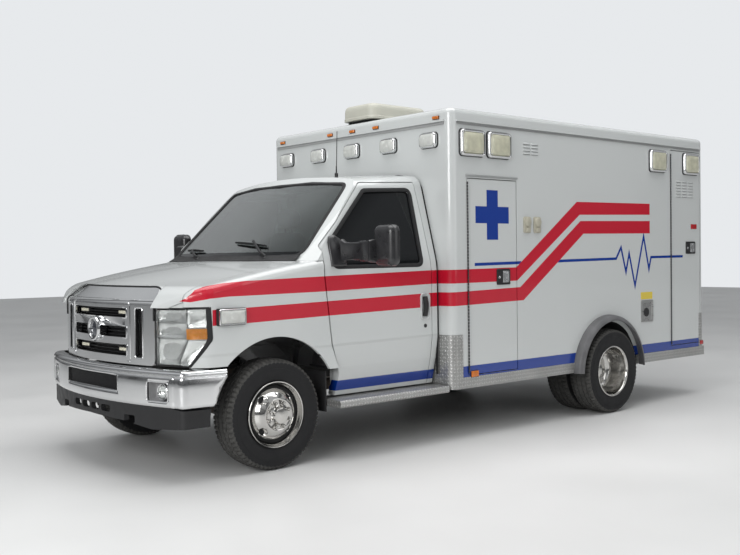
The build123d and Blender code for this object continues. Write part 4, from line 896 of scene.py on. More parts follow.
# (drawn in, height) down the face: a rolled ledge, a pressed crease, the face and its turned-in foot
bumper_face = (
    (0.070, 0.7215), (0.040, 0.7215), (0.022, 0.7175), (0.010, 0.7090), (0.003, 0.6970), (0.001, 0.6890),
    (0.0050, 0.6835), (0.0100, 0.6815), (0.0100, 0.6780), (0.0045, 0.6730), (0.0015, 0.6600),
    (0.0005, 0.6000), (0.0015, 0.5300), (0.0040, 0.5000), (0.0100, 0.4840), (0.0220, 0.4750),
    (0.0400, 0.4710),
)
bumper_back = (
    (0.050, 0.476), (0.030, 0.490), (0.024, 0.520), (0.022, 0.600), (0.024, 0.665), (0.036, 0.700),
    (0.070, 0.712),
)
crease_xs, crease_depth = (0.893, 0.8985, 0.904), 0.005
sensed_height, corner_x, corner_middle = 0.70, 0.905, (0.88, -0.60)
intake_height, intake_half, arch_radius = 0.611, (0.382, 0.051), 0.484
fog_x, fog_height, fog_half = 0.764, 0.580, (0.089, 0.062)
# The mesh has six-sided openings in staggered columns: their pitches and a strand's outer and inner radius
cell, line_pitch, strand_outer, strand_inner = 0.0085, 0.014722, 0.0056695, 0.00442


def bumper_station(x, drawn_in=0):
    """The station of the bumper's bowed face, or of a face some way behind it."""
    return bumper_front + drawn_in + bumper_bow - math.sqrt(bumper_bow**2 - x * x)


dress(black_plastic, "front_valance", "mud_flaps")
softened("front_valance", 0.006)
bumper_line = []
front_xs = {0.03 * step for step in range(-30, 31)} | {side * x for x in crease_xs for side in (1, -1)}
for x in sorted(front_xs):
    bumper_line.append(landed("front_bumper", at(x, -1.4, sensed_height), backward))
for degrees in spread(15, 90, 11):
    direction = Vector((-math.sin(math.radians(degrees)), math.cos(math.radians(degrees)), 0))
    place, normal = landed("front_bumper", at(*corner_middle, sensed_height) - direction * 0.6, direction)
    if place and place.x > corner_x:
        bumper_line.append((place, normal))
for station in (-0.58, -0.54, -0.48, -0.42, -0.388):
    place, normal = landed("front_bumper", at(1.4, station, sensed_height), Vector((-1, 0, 0)))
    if place and place.y > bumper_line[-1][0].y + 0.004:
        bumper_line.append((place, normal))
mirror = Matrix.Diagonal((-1, 1, 1))
left_end = [spot for spot in bumper_line if spot[0].x > corner_x]
bumper_line = [(mirror @ place, mirror @ normal) for place, normal in reversed(left_end)] + bumper_line
rows = []
for place, normal in bumper_line:
    out = Vector((normal.x, normal.y, 0)).normalized()
    notch = crease_depth if abs(abs(place.x) - crease_xs[1]) < 0.002 else 0
    row = []
    for drawn_in, height in (*bumper_face, *bumper_back):
        inward = out * (drawn_in + (notch if height < 0.68 and drawn_in < 0.015 else 0))
        row.append(Vector((place.x - inward.x, place.y - inward.y, height)))
    rows.append(row)
bumper_mesh, openings = bmesh.new(), bmesh.new()
lofted(bumper_mesh, rows, round_ends=True, capped=True)
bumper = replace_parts(built("bumper_shell", bumper_mesh, chrome, sharp=40), "front_bumper")
through = ((0, -0.15), (0, 0.20))
pressed(openings, facing(at(0, -0.80, intake_height), frontward), *intake_half, 0.012, through)
for side in (1, -1):
    pressed(openings, facing(at(side * fog_x, -0.75, fog_height), frontward), *fog_half, 0.018, through)
    turns = [2 * math.pi * step / 64 for step in range(64)]
    rows = [[around_axle(0, side * x, arch_radius, turn) for turn in turns] for x in (0.70, 1.10)]
    lofted(openings, rows, round_ends=True, capped=True)
cut_by(bumper, "bumper_openings", openings)

wire_mesh, surround, backing = (bmesh.new() for _ in range(3))
for column in range(-45, 46):
    for line in range(-4, 5):
        x = column * cell
        height = intake_height + line_pitch * (line + column % 2 / 2)
        outer, inner = [], []
        for corner in range(6):
            angle = math.pi / 3 * corner
            for ring, radius in ((outer, strand_outer), (inner, strand_inner)):
                edge_x = x + radius * math.cos(angle)
                spot = at(edge_x, bumper_station(edge_x, 0.028), height + radius * math.sin(angle))
                ring.append(wire_mesh.verts.new(spot))
        for corner in range(6):
            after = (corner + 1) % 6
            wire_mesh.faces.new((outer[corner], outer[after], inner[after], inner[corner]))
screen = built("bumper_mesh", wire_mesh, black_plastic)
modified(screen, "SOLIDIFY", thickness=0.003)
intake_bead = ((-0.004, -0.03), (-0.004, 0.001), (0.0, 0.0025), (0.003, 0.001), (0.003, -0.03))
fog_bead = ((-0.004, -0.01), (-0.004, 0.001), (0.0, 0.003), (0.004, 0.001), (0.004, -0.01))
rimmed(surround, bumper_station, (0, intake_height), 0.3835, 0.0525, 0.008, intake_bead)
for side in (1, -1):
    middle = (side * fog_x, fog_height)
    rimmed(surround, bumper_station, middle, 0.090, 0.063, 0.018, fog_bead, (side * 0.25, -1, 0))
built("bumper_beads", surround, chrome)
xs = spread(-0.4, 0.4, 17)
lofted(backing, [[at(x, bumper_station(x, 0.055), height) for x in xs] for height in (0.55, 0.675)])
built("bumper_backing", backing, hollow_black)

satin_grey = finish("satin_grey", (0.30, 0.30, 0.305), 0.35, (0.06, 0.1, (0.3, 0.45), 0.0002))
pocket_layers = ((0, 0), (0.006, -0.035), (0.016, -0.050), (0.03, -0.054))
pockets, fog_rims, fog_lenses, fog_bowls = (bmesh.new() for _ in range(4))
for side in (1, -1):
    pocket_way = (side * 0.27, -1, 0)
    pocket = facing(at(side * fog_x, bumper_station(fog_x, 0.012), fog_height), pocket_way)
    pressed(pockets, pocket, 0.088, 0.062, 0.018, pocket_layers, capped=False)
    back = facing(at(side * fog_x, bumper_station(fog_x, 0.066), fog_height), pocket_way)
    pressed(pockets, back, 0.080, 0.055, 0.01, ((0, -0.002), (0.02, 0), (0.05, 0.001)))
    lamp = facing(at(side * 0.790, bumper_station(0.790, 0.020), 0.578), (side * 0.12, -1, 0))
    rim = ((0.046, -0.03), (0.0530, -0.004), (0.0530, 0.003), (0.0500, 0.006), (0.0465, 0.004))
    turned(fog_rims, lamp, rim, 40)
    dome = ((0.0470, 0.002), (0.040, 0.0085), (0.028, 0.0135), (0.014, 0.0160), (0.0006, 0.0166))
    turned(fog_lenses, lamp, dome, 40)
    bowl = (
        (0.0470, 0.000), (0.036, -0.013), (0.020, -0.024), (0.010, -0.028), (0.009, -0.012), (0.0006, -0.008),
    )
    turned(fog_bowls, lamp, bowl, 24)
built("fog_pockets", pockets, satin_grey)
built("fog_rims", fog_rims, chrome)
built("fog_bowls", fog_bowls, reflector, sharp=8)
lens = built("fog_lenses", fog_lenses, clear_lens)
modified(lens, "SOLIDIFY", thickness=0.002, offset=-1)

# Windshield and door glass: laminated and tinted glass set in black rubber, over a dark cabin.
# The rubber is an extruded section pressed round each opening; the door windows have a wider black trim.
glass_foot, glass_base, glass_slope, glass_radius = 0.185, 1.415, 559 / 549, 3.16
# (from the middle, height) of half of the windshield's opening
windshield_half = ((0, 1.430), (0.862, 1.430), (0.750, 1.952), (0.380, 1.977), (0.0, 1.977))
# (height, half width) up the cab's flank
cab_flank = ((0.8, 1.008), (1.152, 1.008), (1.36, 1.0), (1.45, 0.978), (1.953, 0.842), (2.007, 0.812))
# (station, height) round a door's window
window_outline = ((0.500, 1.350), (0.502, 1.520), (0.900, 1.900), (1.362, 1.920), (1.348, 1.352))
rubber_section = (
    (0.018, -0.004), (0.018, 0.002), (0.010, 0.006), (-0.006, 0.006), (-0.012, 0.0), (-0.012, -0.010),
    (-0.002, -0.012),
)
trim_section = (
    (-0.020, -0.001), (-0.019, 0.003), (-0.010, 0.0045), (0.004, 0.0045), (0.009, 0.001), (0.009, -0.014),
    (0.003, -0.015),
)
lean = Vector((0, -1, glass_slope)).normalized()


def windshield_station(x, height, ahead=0):
    """The station of the windshield's outer face, or of a face some way ahead of it."""
    bow = glass_radius - math.sqrt(glass_radius**2 - x * x)
    return glass_foot + bow + (height - glass_base) * glass_slope - ahead


def flipped(section, side):
    """A section for one side of the vehicle."""
    return [(across * side, rise) for across, rise in section]


def cab_side(height):
    """The half width of the cab's flank at a height."""
    return between(cab_flank, height)


glass = finish(
    "tinted_glass", (0.42, 0.52, 0.49), 0.01, (0.8, 0.04, (0.005, 0.03), 0.00001),
    {"Transmission Weight": 1.0, "IOR": 1.5, "Coat Weight": 1.0, "Coat IOR": 1.75},
)
dark_glass = finish(
    "privacy_glass", (0.006, 0.007, 0.008), 0.02, (0.8, 0.05, (0.01, 0.04), 0.00001),
    {"Specular IOR Level": 0.3},
)
dress(glass, "windshield")
dress(dark_glass, "door_glass_left", "door_glass_right", "entry_window")
dress(dark_glass, "rear_window_left", "rear_window_right")

half_outline = [point for point in filleted(windshield_half, 0.06) if point.x > 0.0005]
outline = [Vector(windshield_half[0]), *half_outline, Vector(windshield_half[-1])]
outline += [Vector((-point.x, point.y)) for point in reversed(half_outline)]
seal = bmesh.new()
points = [at(point.x, windshield_station(point.x, point.y), point.y) for point in outline]
swept(seal, points, rubber_section, lean, closed=True)
built("windshield_seal", seal, seal_rubber_and_slot_shade)

frit = bmesh.new()
rows = []
for height in (1.432, 1.445, 1.458):
    rows.append([at(x, windshield_station(x, height, -0.0045), height) for x in spread(-0.855, 0.855, 33)])
lofted(frit, rows)
built("windshield_band", frit, dark_glass)

window_path = filleted([*window_outline, *window_outline[:2]], 0.045)[1:-1]
for side, name in ((1, "left"), (-1, "right")):
    trim = bmesh.new()
    points, ups = [], []
    for point in window_path:
        slope = (cab_side(point.y + 0.01) - cab_side(point.y - 0.01)) / 0.02
        points.append(at(side * (cab_side(point.y) + 0.0005), point.x, point.y))
        ups.append(Vector((side, 0, -slope)).normalized())
    swept(trim, points, flipped(trim_section, side), ups, closed=True)
    built("window_trim_" + name, trim, seal_rubber_and_slot_shade, "door_" + name)

# Cowl: a black moulded panel with a fine mesh between the hood and the glass, and two wipers on it.
# The wipers have pressed steel arms in black paint and rubber blades in a thin frame.
# (pivot, arm's end, blade's inner end, blade's outer end), each (from the middle, height)
wiper_lines = (
    ((0.560, 1.405), (0.300, 1.530), (0.470, 1.497), (0.080, 1.527)),
    ((-0.300, 1.405), (-0.520, 1.470), (-0.320, 1.470), (-0.640, 1.475)),
)
arm_section = (
    (-0.009, -0.003), (-0.009, 0.002), (-0.004, 0.005), (0.004, 0.005), (0.009, 0.002), (0.009, -0.003),
)
frame_section = (
    (-0.004, -0.004), (-0.006, 0.006), (-0.002, 0.012), (0.002, 0.012), (0.006, 0.006), (0.004, -0.004),
)
lip_section = ((-0.002, 0), (-0.003, 0.006), (0.003, 0.006), (0.002, 0))
# The hood's rear edge bows back from hood_edge; the panel rises from its base to the glass
hood_edge, hood_edge_bow, hood_half = 0.131, 0.118, 0.87
cowl_half, cowl_base, cowl_rise, cowl_curve = 0.862, 1.3965, 0.0375, 1.3
cowl_mesh = finish(
    "cowl_mesh", (0.016, 0.016, 0.017), 0.6, (0.06, 0.2, (0.5, 0.7), 0.0003), ribs=(80, 0.0015, "X")
)
wiper_black = finish("wiper_black", (0.014, 0.014, 0.015), 0.45, (0.05, 0.2, (0.35, 0.55), 0.0002))
cowl, wipers = bmesh.new(), bmesh.new()
rows = []
for share in (0, 0.12, 0.35, 0.6, 0.8, 0.92, 1.0):
    row = []
    for x in spread(-cowl_half, cowl_half, 49):
        start = hood_edge + hood_edge_bow * (x / hood_half) ** 2
        end = windshield_station(x, 1.432, 0.0075)
        lift = cowl_base + cowl_rise * share**cowl_curve
        row.append(at(x, start + (end - start) * share, lift - (0 if share else 0.012)))
    rows.append(row)
lofted(cowl, rows)
built("cowl_panel", cowl, cowl_mesh)


def on_windshield(start, end, share, off):
    """A point off the glass, part of the way from one spot to another."""
    x, height = Vector(start).lerp(Vector(end), share)
    return at(x, windshield_station(x, height), height) + lean * off


for pivot, arm_end, inner, outer in wiper_lines:
    arm = [on_windshield(pivot, arm_end, 0, -0.004)]
    arm.append(on_windshield((pivot[0], pivot[1] + 0.012), arm_end, 0, 0.02))
    arm += [on_windshield(pivot, arm_end, share, 0.026 - 0.004 * share) for share in (0.3, 0.6, 0.85, 1.0)]
    swept(wipers, arm, arm_section, lean)
    shares = spread(0, 1, 7)
    bar = [on_windshield(inner, outer, share, 0.006 + 0.008 * math.sin(math.pi * share)) for share in shares]
    swept(wipers, bar, frame_section, lean)
    swept(wipers, [on_windshield(inner, outer, share, 0.001) for share in (0, 0.5, 1)], lip_section, lean)
    hub = facing(on_windshield(pivot, pivot, 0, 0), lean)
    button(wipers, hub, 0.016, ((0, -0.012), (0, 0.014), (0.003, 0.018), (0.008, 0.020)))
built("wipers", wipers, wiper_black)

# Mirrors: tall moulded heads in grained black plastic on a thick telescoping sleeve arm.
# A triangular sail foot is bolted to the door's front corner. The glass faces back.
head_x, head_station, head_height, arm_station, arm_height = 1.365, 0.700, 1.491, 0.578, 1.455
head_layers = (
    (0.004, 0.0), (0.0, 0.008), (0.0, 0.034), (0.004, 0.052), (0.014, 0.068), (0.032, 0.078), (0.060, 0.0805),
)
rib_line = ((-0.002, -0.002), (-0.001, 0.0025), (0.001, 0.0025), (0.002, -0.002))
# (from the middle, half height, half depth) along the sleeve
sleeve = (
    (1.292, 0.072, 0.016), (1.20, 0.070, 0.017), (1.196, 0.064, 0.014), (1.09, 0.062, 0.014),
    (1.04, 0.066, 0.017), (1.005, 0.086, 0.022),
)
# (station, half width, half height) along the elbow behind the head
elbow_x, elbow = 1.284, ((0.565, 0.020, 0.072), (0.60, 0.024, 0.078), (0.63, 0.026, 0.080))
# (station, height) round the sail, the point it narrows to, and (inset, rise) of its layers
sail = (
    (0.474, 1.350), (0.474, 1.520), (0.490, 1.560), (0.535, 1.575), (0.585, 1.545), (0.608, 1.470),
    (0.610, 1.350),
)
sail_middle = (0.542, 1.45)
sail_layers = ((0.0, 0.0015), (0.0, 0.010), (0.006, 0.017), (0.02, 0.021))
mirror_black = finish(
    "mirror_black", (0.022, 0.022, 0.024), 0.3, (0.06, 0.15, (0.24, 0.4), 0.00015),
    {"Coat Weight": 0.35, "Coat Roughness": 0.15},
)
mirror_glass = finish(
    "mirror_glass", (0.72, 0.74, 0.76), 0.02, (0.5, 0.01, (0.01, 0.03), 0.00001), {"Metallic": 1.0}
)
for side, name in ((1, "left"), (-1, "right")):
    shell, pane = bmesh.new(), bmesh.new()
    head = facing(at(side * head_x, head_station, head_height), frontward)
    pressed(shell, head, 0.102, 0.141, 0.052, head_layers, steps=8)
    rib = [head @ Vector((x, y, 0.046)) for x, y in rounded_ring(0.1005, 0.1405, 0.052, 8)]
    swept(shell, rib, rib_line, frontward, closed=True)
    rows = []
    for x, half_z, half_y in sleeve:
        ring = rounded_ring(half_y, half_z, 0.014, 4)
        rows.append([at(side * x, arm_station + y, arm_height + z) for y, z in ring])
    lofted(shell, rows, round_ends=True, capped=True)
    rows = []
    for station, half_x, half_z in elbow:
        ring = rounded_ring(half_x, half_z, 0.014, 4)
        rows.append([at(side * (elbow_x + x), station, arm_height + z) for x, z in ring])
    lofted(shell, rows, round_ends=True, capped=True)
    rows = []
    for inset, rise in sail_layers:
        row = []
        for station, height in sail:
            station += (sail_middle[0] - station) * inset / 0.07
            height += (sail_middle[1] - height) * inset / 0.11
            row.append(at(side * (cab_side(height) + rise), station, height))
        rows.append(row)
    lofted(shell, rows, round_ends=True, capped=True)
    body = "door_" + name
    made = built("mirror_shell_" + name, shell, mirror_black, body, 45)
    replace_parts(made, "mirror_" + name)
    face = facing(at(side * head_x, head_station + 0.0005, head_height), backward)
    pressed(pane, face, 0.092, 0.130, 0.046, ((0, -0.004), (0, 0.002), (0.002, 0.0032)), steps=8)
    built("mirror_pane_" + name, pane, mirror_glass, body)

# Cab door furniture: an upright black pull handle in a white moulded bezel, with a black key lock below.
# Each is a separate moulding clipped into the door skin.
handle_layers = ((0, -0.001), (0, 0.005), (0.003, 0.009), (0.009, 0.009), (0.013, 0.003), (0.020, 0.0005))
pull_section = (
    (-0.022, -0.006), (-0.023, 0.002), (-0.013, 0.009), (0.013, 0.009), (0.023, 0.002), (0.022, -0.006),
)
lock_layers = ((0, -0.001), (0, 0.002), (0.003, 0.0035), (0.006, 0.0015), (0.009, 0.001))
moulded_white = finish(
    "moulded_white", (0.54, 0.555, 0.555), 0.3, (0.03, 0.1, (0.24, 0.36), 0.0001), {"Coat Weight": 0.4}
)
for side, name in ((1, "left"), (-1, "right")):
    body = "door_" + name
    bezel, grip, lock = (bmesh.new() for _ in range(3))
    place = facing(at(side * 1.0082, 1.370, 1.035), (side, 0, 0))
    pressed(bezel, place, 0.050, 0.104, 0.036, handle_layers, steps=6)
    pull = []
    for share in spread(0, 1, 9):
        pull.append(at(side * (1.0125 + 0.013 * math.sin(math.pi * share)), 1.368, 0.962 + 0.146 * share))
    swept(grip, pull, pull_section, (side, 0, 0))
    button(lock, facing(at(side * 1.0085, 1.372, 0.888), (side, 0, 0)), 0.015, lock_layers)
    built("handle_bezel_" + name, bezel, moulded_white, body)
    built("door_pull_" + name, grip, black_plastic, body)
    built("door_lock_" + name, lock, wiper_black, body)

# Warning lamps: sealed heads bolted to the module's walls and the fenders, each on a black rubber gasket.
# A bright plated bezel, held by a screw at each corner, clamps a ribbed cream lens, domed at the front.
wall_side, module_front, module_rear = 1.143, 1.525, 5.125
lamp_height, front_lamp_height, screw_inset = 2.278, 2.303, 0.034
wall_lamp, rear_lamp, front_lamp = (0.276, 0.212), (0.190, 0.212), (0.190, 0.124)
gasket_layers = ((0, 0.0004), (0, 0.006), (0.003, 0.009), (0.006, 0.009))
bezel_layers = (
    (0.005, 0.004), (0.004, 0.018), (0.007, 0.028), (0.013, 0.0335), (0.019, 0.0345), (0.024, 0.031),
    (0.026, 0.022),
)
flat_lens_layers = (
    (0.0255, 0.014), (0.0255, 0.029), (0.029, 0.035), (0.036, 0.0385), (0.060, 0.041), (0.085, 0.042),
)
domed_lens_layers = (
    (0.014, 0.014), (0.014, 0.034), (0.017, 0.040), (0.025, 0.0445), (0.038, 0.048), (0.052, 0.0495),
)
screw_layers = ((0, 0), (0, 0.0028), (0.001, 0.00448), (0.003, 0.00532))
cream_lens = finish(
    "cream_lens", (0.58, 0.57, 0.43), 0.12, (0.05, 0.12, (0.1, 0.2), 0.0003),
    {"Coat Weight": 0.8, "Coat Roughness": 0.04}, (60, 0.0012, "Z"),
)
frosted_lens = finish(
    "frosted_lens", (0.62, 0.63, 0.60), 0.2, (0.04, 0.1, (0.15, 0.3), 0.0004), {"Coat Weight": 0.6},
    (45, 0.0015, "Z"),
)


def warning_lamp(meshes, place, size, lens_layers):
    """Adds one lamp's gasket, bezel, lens and screws to their meshes."""
    gasket, bezel, lens = meshes
    half_x, half_y = size[0] / 2, size[1] / 2
    pressed(gasket, place, half_x, half_y, 0.030, gasket_layers)
    pressed(bezel, place, half_x, half_y, 0.034, bezel_layers, steps=7, capped=False)
    pressed(lens, place, half_x, half_y, 0.046, lens_layers, steps=7)
    for x, y in ((1, 1), (-1, 1), (-1, -1), (1, -1)):
        spot = Matrix.Translation((x * (half_x - screw_inset), y * (half_y - screw_inset), 0.0350))
        button(bezel, place @ spot, 0.0048, screw_layers, 3)


gaskets, bezels, lenses, domes = (bmesh.new() for _ in range(4))
for x in (-0.920, -0.460, 0, 0.460, 0.920):
    place = facing(at(x, module_front, front_lamp_height), frontward)
    warning_lamp((gaskets, bezels, domes), place, front_lamp, domed_lens_layers)
for side, stations in ((1, (1.752, 2.060, 4.306)), (-1, (1.752, 2.060, 4.306, 4.882))):
    spots = [(at(side * wall_side, station, lamp_height), (side, 0, 0), wall_lamp) for station in stations]
    spots.append((at(side * 0.988, module_rear, lamp_height), backward, rear_lamp))
    for spot, outward, size in spots:
        warning_lamp((gaskets, bezels, lenses), facing(spot, outward), size, flat_lens_layers)
    fender = facing(at(side * 1.0075, -0.350, 1.043), (side, 0, 0))
    pressed(gaskets, fender, 0.105, 0.055, 0.008, ((0, -0.02), (0, 0.005), (0.003, 0.008)))
    rim = ((0, 0.004), (0, 0.017), (0.003, 0.021), (0.008, 0.021), (0.011, 0.016))
    pressed(bezels, fender, 0.101, 0.051, 0.007, rim, capped=False)
    dome = ((0, 0.008), (0, 0.017), (0.003, 0.0215), (0.010, 0.024), (0.020, 0.025))
    pressed(domes, fender, 0.091, 0.041, 0.005, dome)
built("lamp_gaskets", gaskets, seal_rubber_and_slot_shade)
built("lamp_bezels", bezels, chrome)
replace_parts(built("lamp_lenses", lenses, cream_lens), "warning_lamps")
built("lamp_domes", domes, frosted_lens)
gasket, bezel, lens = (bmesh.new() for _ in range(3))
place = facing(at(wall_side, 4.882, lamp_height), (1, 0, 0))
warning_lamp((gasket, bezel, lens), place, wall_lamp, flat_lens_layers)
built("door_lamp_gasket", gasket, seal_rubber_and_slot_shade, "street_rear_lid")
built("door_lamp_bezel", bezel, chrome, "street_rear_lid")
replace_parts(built("door_lamp_lens", lens, cream_lens, "street_rear_lid"), "street_door_lamp")

# Marker lamps: small moulded lenses on black bases, amber at the front and on the skirts, red at the rear.
# Each is held by one screw through its base.
marker_base = ((0, 0.0005), (0, 0.004), (0.0015, 0.0055), (0.004, 0.0055))
marker_dome = ((0.003, 0.004), (0.003, 0.011), (0.005, 0.0145), (0.008, 0.0165), (0.012, 0.0172))
skirt_dome = [(inset, out * 0.8) for inset, out in marker_dome]
red_lens = finish(
    "red_lens", (0.42, 0.012, 0.016), 0.15, (0.03, 0.15, (0.12, 0.24), 0.0003), {"Coat Weight": 0.7},
    (70, 0.0007, "X"),
)
marker_amber = finish(
    "marker_amber", (0.60, 0.155, 0.008), 0.2, (0.03, 0.15, (0.16, 0.3), 0.0004), {"Coat Weight": 0.6}
)
marker_bases, amber_markers, red_markers, door_marker = (bmesh.new() for _ in range(4))


def marker(place, half_long, half_tall, corner, lens_mesh, dome):
    """Adds one marker lamp's base and lens to their meshes."""
    pressed(marker_bases, place, half_long, half_tall, corner, marker_base, steps=3)
    pressed(lens_mesh, place, half_long, half_tall, 0.006, dome, steps=4)


for x in (-0.994, -0.298, 0, 0.298, 0.994):
    for station, outward, lens_mesh in ((module_front, -1, amber_markers), (module_rear, 1, red_markers)):
        marker(facing(at(x, station, 2.470), (0, outward, 0)), 0.035, 0.014, 0.003, lens_mesh, marker_dome)
for side in (1, -1):
    front, rear = (at(side * wall_side, *spot) for spot in ((1.7635, 0.4995), (5.075, 0.517)))
    marker(facing(front, (side, 0, 0)), 0.043, 0.026, 0.004, amber_markers, skirt_dome)
    marker(facing(rear, (side, 0, 0)), 0.030, 0.022, 0.004, red_markers, skirt_dome)
for shift in (-0.027, 0.027):
    place = facing(at(wall_side, 4.946 + shift, 1.669), (1, 0, 0))
    layers = ((0, 0.0004), (0, 0.003), (0.002, 0.0045), (0.006, 0.005))
    pressed(door_marker, place, 0.025, 0.024, 0.003, layers, steps=3)
built("marker_bases", marker_bases, black_plastic)
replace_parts(built("amber_markers", amber_markers, marker_amber), "marker_lamps")
built("red_markers", red_markers, red_lens)
built("door_marker", door_marker, red_lens, "street_rear_lid")

# Tail lamps: three square lenses a side on the rear wall, for braking, turning and reversing.
# They are moulded acrylic in bright bezels; the number plate's place is left bare.
tail_bezel_layers = ((0, 0.0005), (0, 0.014), (0.003, 0.019), (0.009, 0.020), (0.012, 0.014))
tail_lens_layers = ((0.011, 0.006), (0.011, 0.020), (0.014, 0.025), (0.022, 0.0285), (0.035, 0.0295))
# (height, finish, slot, use)
tail_lamps = (
    (1.060, red_lens, "lamp_red", "brake"),
    (1.210, marker_amber, "lamp_amber", "turn"),
    (1.360, frosted_lens, "lamp_clear", "reversing"),
)
tail_bezels = bmesh.new()
for height, made, slot, use in tail_lamps:
    lens_mesh = bmesh.new()
    for side in (1, -1):
        place = facing(at(side * 0.960, module_rear, height), backward)
        pressed(tail_bezels, place, 0.080, 0.060, 0.014, tail_bezel_layers, capped=False)
        pressed(lens_mesh, place, 0.080, 0.060, 0.016, tail_lens_layers)
    lens_piece = built(use + "_lamps", lens_mesh, made)
    if use == "brake":
        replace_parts(lens_piece, "tail_lamps")
built("tail_lamp_bezels", tail_bezels, chrome)

# Tread plate: rolled aluminium with raised lozenges in two directions, held by round rivets.
# It covers the running boards, the module's front corners and skirts, the entry step and the rear step.
plate_pitch, lozenge_long, lozenge_short, lozenge_depth = 0.027, 0.66, 0.22, 0.002
whole_cells = 500
tread_metal = finish("tread_plate", (0.46, 0.46, 0.45), 0.34, values={"Metallic": 0.75})
plate_x, plate_y, plate_z = parts_of(tread_metal, "Object")
_, out_y, out_z = parts_of(tread_metal, "Normal")


def chosen(when, one, other):
    """One reading of the tread plate where a mask is 1, else the other."""
    picked = node(tread_metal, "Mix", {0: when, 2: other, 3: one}, data_type="FLOAT")
    return Reading(tread_metal, picked.outputs[0])


u = chosen(abs(out_y) > 0.6, plate_x, plate_y) / plate_pitch + whole_cells
v = chosen(abs(out_z) > 0.6, plate_x, plate_z) / plate_pitch + whole_cells
hand = (u.maths("FLOOR") + v.maths("FLOOR")) % 2 * 2 - 1
from_u = u.maths("FRACT") - 0.5
from_v = (v.maths("FRACT") - 0.5) * hand
inside = abs((from_u + from_v) / lozenge_long) ** 2 + abs((from_u - from_v) / lozenge_short) ** 2
lozenge = inside.ranged(0, 1, 1, 0) ** 0.5
# The raised lozenges are painted lighter than the ground between them: a painted highlight on their tops.
raised = overlay(tread_metal, (0.40, 0.40, 0.39, 1), (0.62, 0.62, 0.61, 1), lozenge)
relief = worn(tread_metal, 0.25, 0.1, (0.28, 0.42), 0.0002, base=raised)
stamp = {"Height": lozenge, "Distance": lozenge_depth, "Normal": relief.outputs[0]}
stamped = node(tread_metal, "Bump", stamp)
feed(tread_metal, "Normal", stamped.outputs[0])
dress(tread_metal, "running_boards", "tread_plates", "rear_step", "entry_step")
guard_rivet = ((0, -0.001), (0.0008, 0.0016), (0.0028, 0.0026))
skirt_rivet = ((0, -0.001), (0.0008, 0.0015), (0.0028, 0.0024))
guard_front, guard_inner, guard_outer = module_front - 0.0044, 0.885, 1.1475
corner_middle, corner_radius = (1.083, 5.065), 0.0645
rivets, corner_plates = bmesh.new(), bmesh.new()
for side in (1, -1):
    for height in (0.420, 0.510, 0.600, 0.690, 0.785):
        for x, station, outward in (
            (0.900, guard_front, frontward), (1.070, guard_front, frontward), (1.1474, 1.618, (side, 0, 0)),
        ):
            button(rivets, facing(at(side * x, station, height), outward), 0.0055, guard_rivet, 3)
    for start, end in ((1.660, 3.040), (3.970, 5.100)):
        for station in spread(start, end, 9):
            button(rivets, facing(at(side * 1.146, station, 0.468), (side, 0, 0)), 0.005, skirt_rivet, 3)
    rows = []
    for height in (0.397, 0.808):
        row = [at(side * guard_inner, module_rear + lift, height) for lift in (0.0005, 0.004)]
        for angle in spread(0, math.pi / 2, 9):
            x = corner_middle[0] + corner_radius * math.sin(angle)
            row.append(at(side * x, corner_middle[1] + corner_radius * math.cos(angle), height))
        row += [at(side * x, 5.030, height) for x in (guard_outer, guard_outer - 0.004)]
        rows.append(row)
    lofted(corner_plates, rows)
built("plate_rivets", rivets, chrome)
built("rear_corner_plates", corner_plates, tread_metal)

# Door edges: black piano hinges down the compartment doors, and drip mouldings over the lower doors.
# The hinges are rolled steel in knuckles; the mouldings are drawn aluminium with a rounded lip.
# (body, from the middle, station, foot, top) of each hinge
hinges = (
    ("street_front_lid", wall_side + 0.006, 1.700, 0.508, 1.992),
    ("street_rear_lid", wall_side + 0.006, 4.533, 0.538, 2.382),
    ("entry_leaf", -wall_side - 0.006, 2.240, 0.508, 2.312),
    ("curb_rear_lid", -wall_side - 0.006, 4.300, 0.508, 1.992),
    ("rear_leaf_left", 0.850, module_rear + 0.006, 0.784, 2.306),
    ("rear_leaf_right", -0.850, module_rear + 0.006, 0.784, 2.306),
)
knuckle_length = 0.025
# (height above its foot, radius) of one knuckle
knuckle = ((0, 0.0046), (0.001, 0.0062), (knuckle_length - 0.003, 0.0062), (knuckle_length - 0.002, 0.0046))
# (side, front end, rear end, height) of each moulding
drip_lines = ((1, 1.685, 2.287, 2.027), (-1, 4.285, 5.068, 2.027), (-1, 2.225, 3.010, 2.347))
drip_section = (
    (-0.009, -0.0005), (-0.009, 0.004), (-0.005, 0.0105), (-0.001, 0.0115), (0.001, 0.0085), (0.0, 0.005),
    (0.007, 0.0035), (0.009, -0.0005),
)
hinge_black = finish(
    "hinge_steel", (0.035, 0.035, 0.037), 0.45, (0.03, 0.25, (0.35, 0.6), 0.0003), {"Metallic": 0.4}
)
trim_metal = finish(
    "trim_aluminium", (0.42, 0.43, 0.43), 0.35, (0.2, 0.08, (0.28, 0.42), 0.0001), {"Metallic": 0.6}
)
for body, x, station, foot, top in hinges:
    barrel = bmesh.new()
    turns = spread(0, 7 * math.pi / 4, 8)
    rows = []
    for index in range(int((top - foot) / knuckle_length)):
        for rise, radius in knuckle:
            height = foot + index * knuckle_length + rise
            ring = [(radius * math.cos(turn), radius * math.sin(turn)) for turn in turns]
            rows.append([at(x + off_x, station + off_y, height) for off_x, off_y in ring])
    lofted(barrel, rows, round_ends=True, capped=True)
    name = "piano_hinge_" + body.replace("rear_leaf", "rear")
    built(name, barrel, hinge_black, body, 50)
drips = bmesh.new()
for side, start, end, height in drip_lines:
    line = [at(side * wall_side, station, height) for station in spread(start, end, 7)]
    swept(drips, line, flipped(drip_section, side), (side, 0, 0))
built("drip_mouldings", drips, trim_metal)
